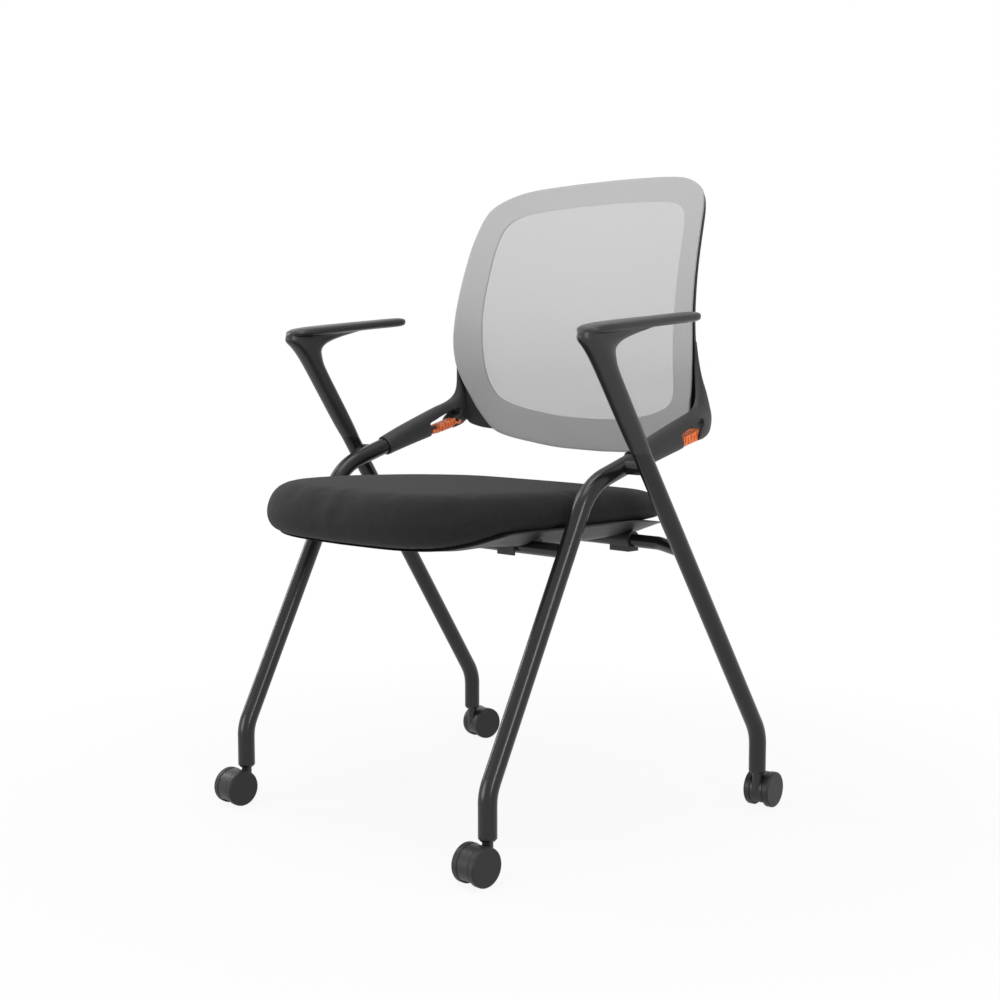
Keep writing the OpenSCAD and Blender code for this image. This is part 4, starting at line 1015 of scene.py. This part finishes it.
for row in smooth_path(neck_rows, 4):
    z = NECK_LOW + NECK_RISE * row[0]
    slope = row[4] * PAD_RISE / PAD_LONG * 1.3
    ring = []
    for p in squared_loop(PAD_W * row[3], 1, 2.2, 40):
        y = p[1] * PAD_LONG * (row[1] if p[1] < 0 else row[2])
        ring.append(Vector((ARM_X + p[0], rear_leg_y(z) + y, z + slope * y)))
    neck_rings.append(ring)
neck = piece_from(skin_of_rings(neck_rings), "neck", arm_plastic)
arm = melted([pad, neck], "armrest_shell_left", arm_plastic, cell=0.0013, rounds=5)
arms = [arm, mirrored_copy(arm, "armrest_shell_right")]
for piece, node_name in zip(arms, ("armrest_left", "armrest_right")):
    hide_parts(node_name)
    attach(piece, "frame")
print("armrest triangles:", sum(len(p.vertices) - 2 for p in arm.data.polygons))

# %% [markdown]
# ## The seat
# Seat cushion and shell share one outline. The seam between them drops at the front,
# where the cushion rolls over the edge.

# %% Seat outline
SEAT_W, SEAT_LONG, SEAT_REAR, SEAM_Z = 0.448, 0.480, 0.188, 0.417
SEAM_DROP, CUSHION_H, CROWN, REAR_FALL = 0.024, 0.053, 0.006, 0.020
seat_rows = [
    (0, -1), (0.38, -0.982), (0.63, -0.93), (0.8, -0.835), (0.905, -0.69), (0.965, -0.48), (0.995, -0.16),
    (0.995, 0.2), (0.975, 0.55), (0.92, 0.78), (0.79, 0.92), (0.56, 0.985), (0, 1)
]
seat_loop = both_halves(smooth_path(seat_rows, 8))
SEAT_MIDDLE = SEAT_REAR - SEAT_LONG / 2
seam_rows = smooth_path([
    (0, 1), (0.08, 0.93), (0.16, 0.6), (0.24, 0.2), (0.32, 0.03), (0.68, 0.03), (0.8, 0.16), (0.9, 0.4),
    (1, 0.72)
], 6)
fall_rows = smooth_path([(0, 0), (0.25, 0.03), (0.5, 0.2), (0.75, 0.5), (1, 1)], 6)


def seat_share(y):
    return (y - (SEAT_REAR - SEAT_LONG)) / SEAT_LONG


def seam_height(y):
    return SEAM_Z - SEAM_DROP * read_table(seam_rows, seat_share(y))


def seat_ring(inset, lift, crown, up=0.0):
    ring = []
    for p in seat_loop:
        x = p[0] * (SEAT_W / 2 - inset)
        y = SEAT_MIDDLE + p[1] * (SEAT_LONG / 2 - inset)
        top = SEAM_Z + CUSHION_H - CROWN - REAR_FALL * read_table(fall_rows, seat_share(y))
        ring.append(Vector((x, y, rounded(seam_height(y), top, lift) + CROWN * crown + up)))
    return ring


# %% [markdown]
# ## The cushion
# The cushion is foam pulled into a sewn cover. A closed form a little smaller than the
# finished cushion is remeshed evenly and blown up by Blender's cloth solver, so that
# it crowns and its sides draw in between the corners. Its points may only move a few
# millimetres, so it keeps its place on the shell.

# %% Cushion body
cushion_rows = smooth_path([
    (0.46, 0, 0), (0.22, 0.04, 0), (0.06, 0.18, 0), (0, 0.38, 0), (0.04, 0.58, 0), (0.14, 0.77, 0),
    (0.32, 0.92, 0), (0.62, 1, 0.02), (1.3, 1, 0.3), (2.4, 1, 0.7), (3.8, 1, 0.97)
], 3)
SLIM = 0.0012
cushion_rings = [seat_ring(CUSHION_H * inset + SLIM, 0, 0, SLIM / 2) for inset in (2.6, 0.6)]
cushion_rings += [
    seat_ring(CUSHION_H * row[0] + SLIM, min(max(row[1], 0), 1), row[2], -SLIM * row[1] + SLIM / 2)
    for row in cushion_rows
]
cushion = piece_from(skin_of_rings(cushion_rings), "seat_pad", seat_weave)


def blown_up(piece, cell, cap, frames, pressure):
    """Remeshes a pad, lets cloth pressure swell it, and holds each point within cap"""
    remesh = piece.modifiers.new("even_mesh", "REMESH")
    remesh.mode = "VOXEL"
    remesh.voxel_size = cell
    made_solid(piece)
    rest = [v.co.copy() for v in piece.data.vertices]
    low = min(v.z for v in rest)
    swell = piece.modifiers.new("swell", "CLOTH")
    swell.settings.use_pressure = True
    swell.settings.uniform_pressure_force = pressure
    swell.settings.effector_weights.gravity = 0
    swell.settings.quality = 5
    for step in range(1, frames + 1):
        scene.frame_set(step)
    made_solid(piece)
    scene.frame_set(1)
    for corner, home in zip(piece.data.vertices, rest):
        move = corner.co - home
        if move.length > cap:
            move *= cap / move.length
        corner.co = home + move
    return piece


blown_up(cushion, cell=0.0055, cap=0.0022, frames=16, pressure=3)
ease = cushion.modifiers.new("foam", "SMOOTH")
ease.factor, ease.iterations = 0.5, 4
finer = cushion.modifiers.new("finer", "SUBSURF")
finer.levels = finer.render_levels = 1
made_solid(cushion)
cushion.data.materials.clear()
cushion.data.materials.append(seat_weave)
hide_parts("seat_cushion")
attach(cushion, "seat")
print("cushion triangles:", sum(len(p.vertices) - 2 for p in cushion.data.polygons))

# %% [markdown]
# ## The seat shell
# The shell is a shallow plastic tray under the cushion, with a half-round groove for
# each crossbar. Edges sharper than 35 degrees stay crisp when it is shaded.

# %% Shell
SHELL_DEEP, SHELL_INSET, SHELL_FRONT = 0.029, 0.005, 0.020
shell_rows = smooth_path([
    (0, 0.02), (0.1, 0.16), (0.2, 0.52), (0.32, 0.8), (0.5, 0.97), (0.68, 0.95), (0.84, 0.82), (0.95, 0.66),
    (1, 0.5)
], 6)


def shell_ring(inset, drop, front=0.0):
    ring = []
    for p in seat_loop:
        x = p[0] * (SEAT_W / 2 - inset)
        y = SEAT_MIDDLE + p[1] * (SEAT_LONG / 2 - inset - (front if p[1] < 0 else 0))
        seam = seam_height(y)
        ring.append(Vector((x, y, seam - SHELL_DEEP * read_table(shell_rows, seat_share(y)) * drop)))
    return ring


shell_profile = [
    (CUSHION_H * 2.6, 1, 0), (SHELL_DEEP * 2.2, 1, 0), (SHELL_DEEP * 1.35, 0.86, 0),
    (SHELL_DEEP * 0.75, 0.5, SHELL_FRONT / 2), (SHELL_INSET, 0.08, SHELL_FRONT)
]
shell_rings = [shell_ring(*row) for row in smooth_path(shell_profile, 4)]
shell_rings.append(shell_ring(SHELL_INSET, 0, SHELL_FRONT))
shell_rings += [shell_ring(CUSHION_H * inset, 0) for inset in (0.6, 2.6)]
shell = piece_from(skin_of_rings(shell_rings), "seat_tray", black_plastic)
FRONT_BAR, REAR_BAR = (-0.102169, 0.391), (0.087518, 0.385)
GROOVE, BELOW, ASIDE = 0.013, 0.05, 0.3
for bar in (FRONT_BAR, REAR_BAR):
    outline = [(bar[0] - GROOVE, bar[1] - BELOW), (bar[0] + GROOVE, bar[1] - BELOW)]
    outline += [(bar[0] + GROOVE * math.cos(math.radians(a)), bar[1] + GROOVE * math.sin(math.radians(a)))
                for a in range(0, 181, 10)]
    cut_away(shell, side_block(outline, -ASIDE, ASIDE, "groove"))
shell.data.set_sharp_from_angle(angle=math.radians(35))
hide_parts("seat_shell")
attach(shell, "seat")
print("shell triangles:", sum(len(p.vertices) - 2 for p in shell.data.polygons))
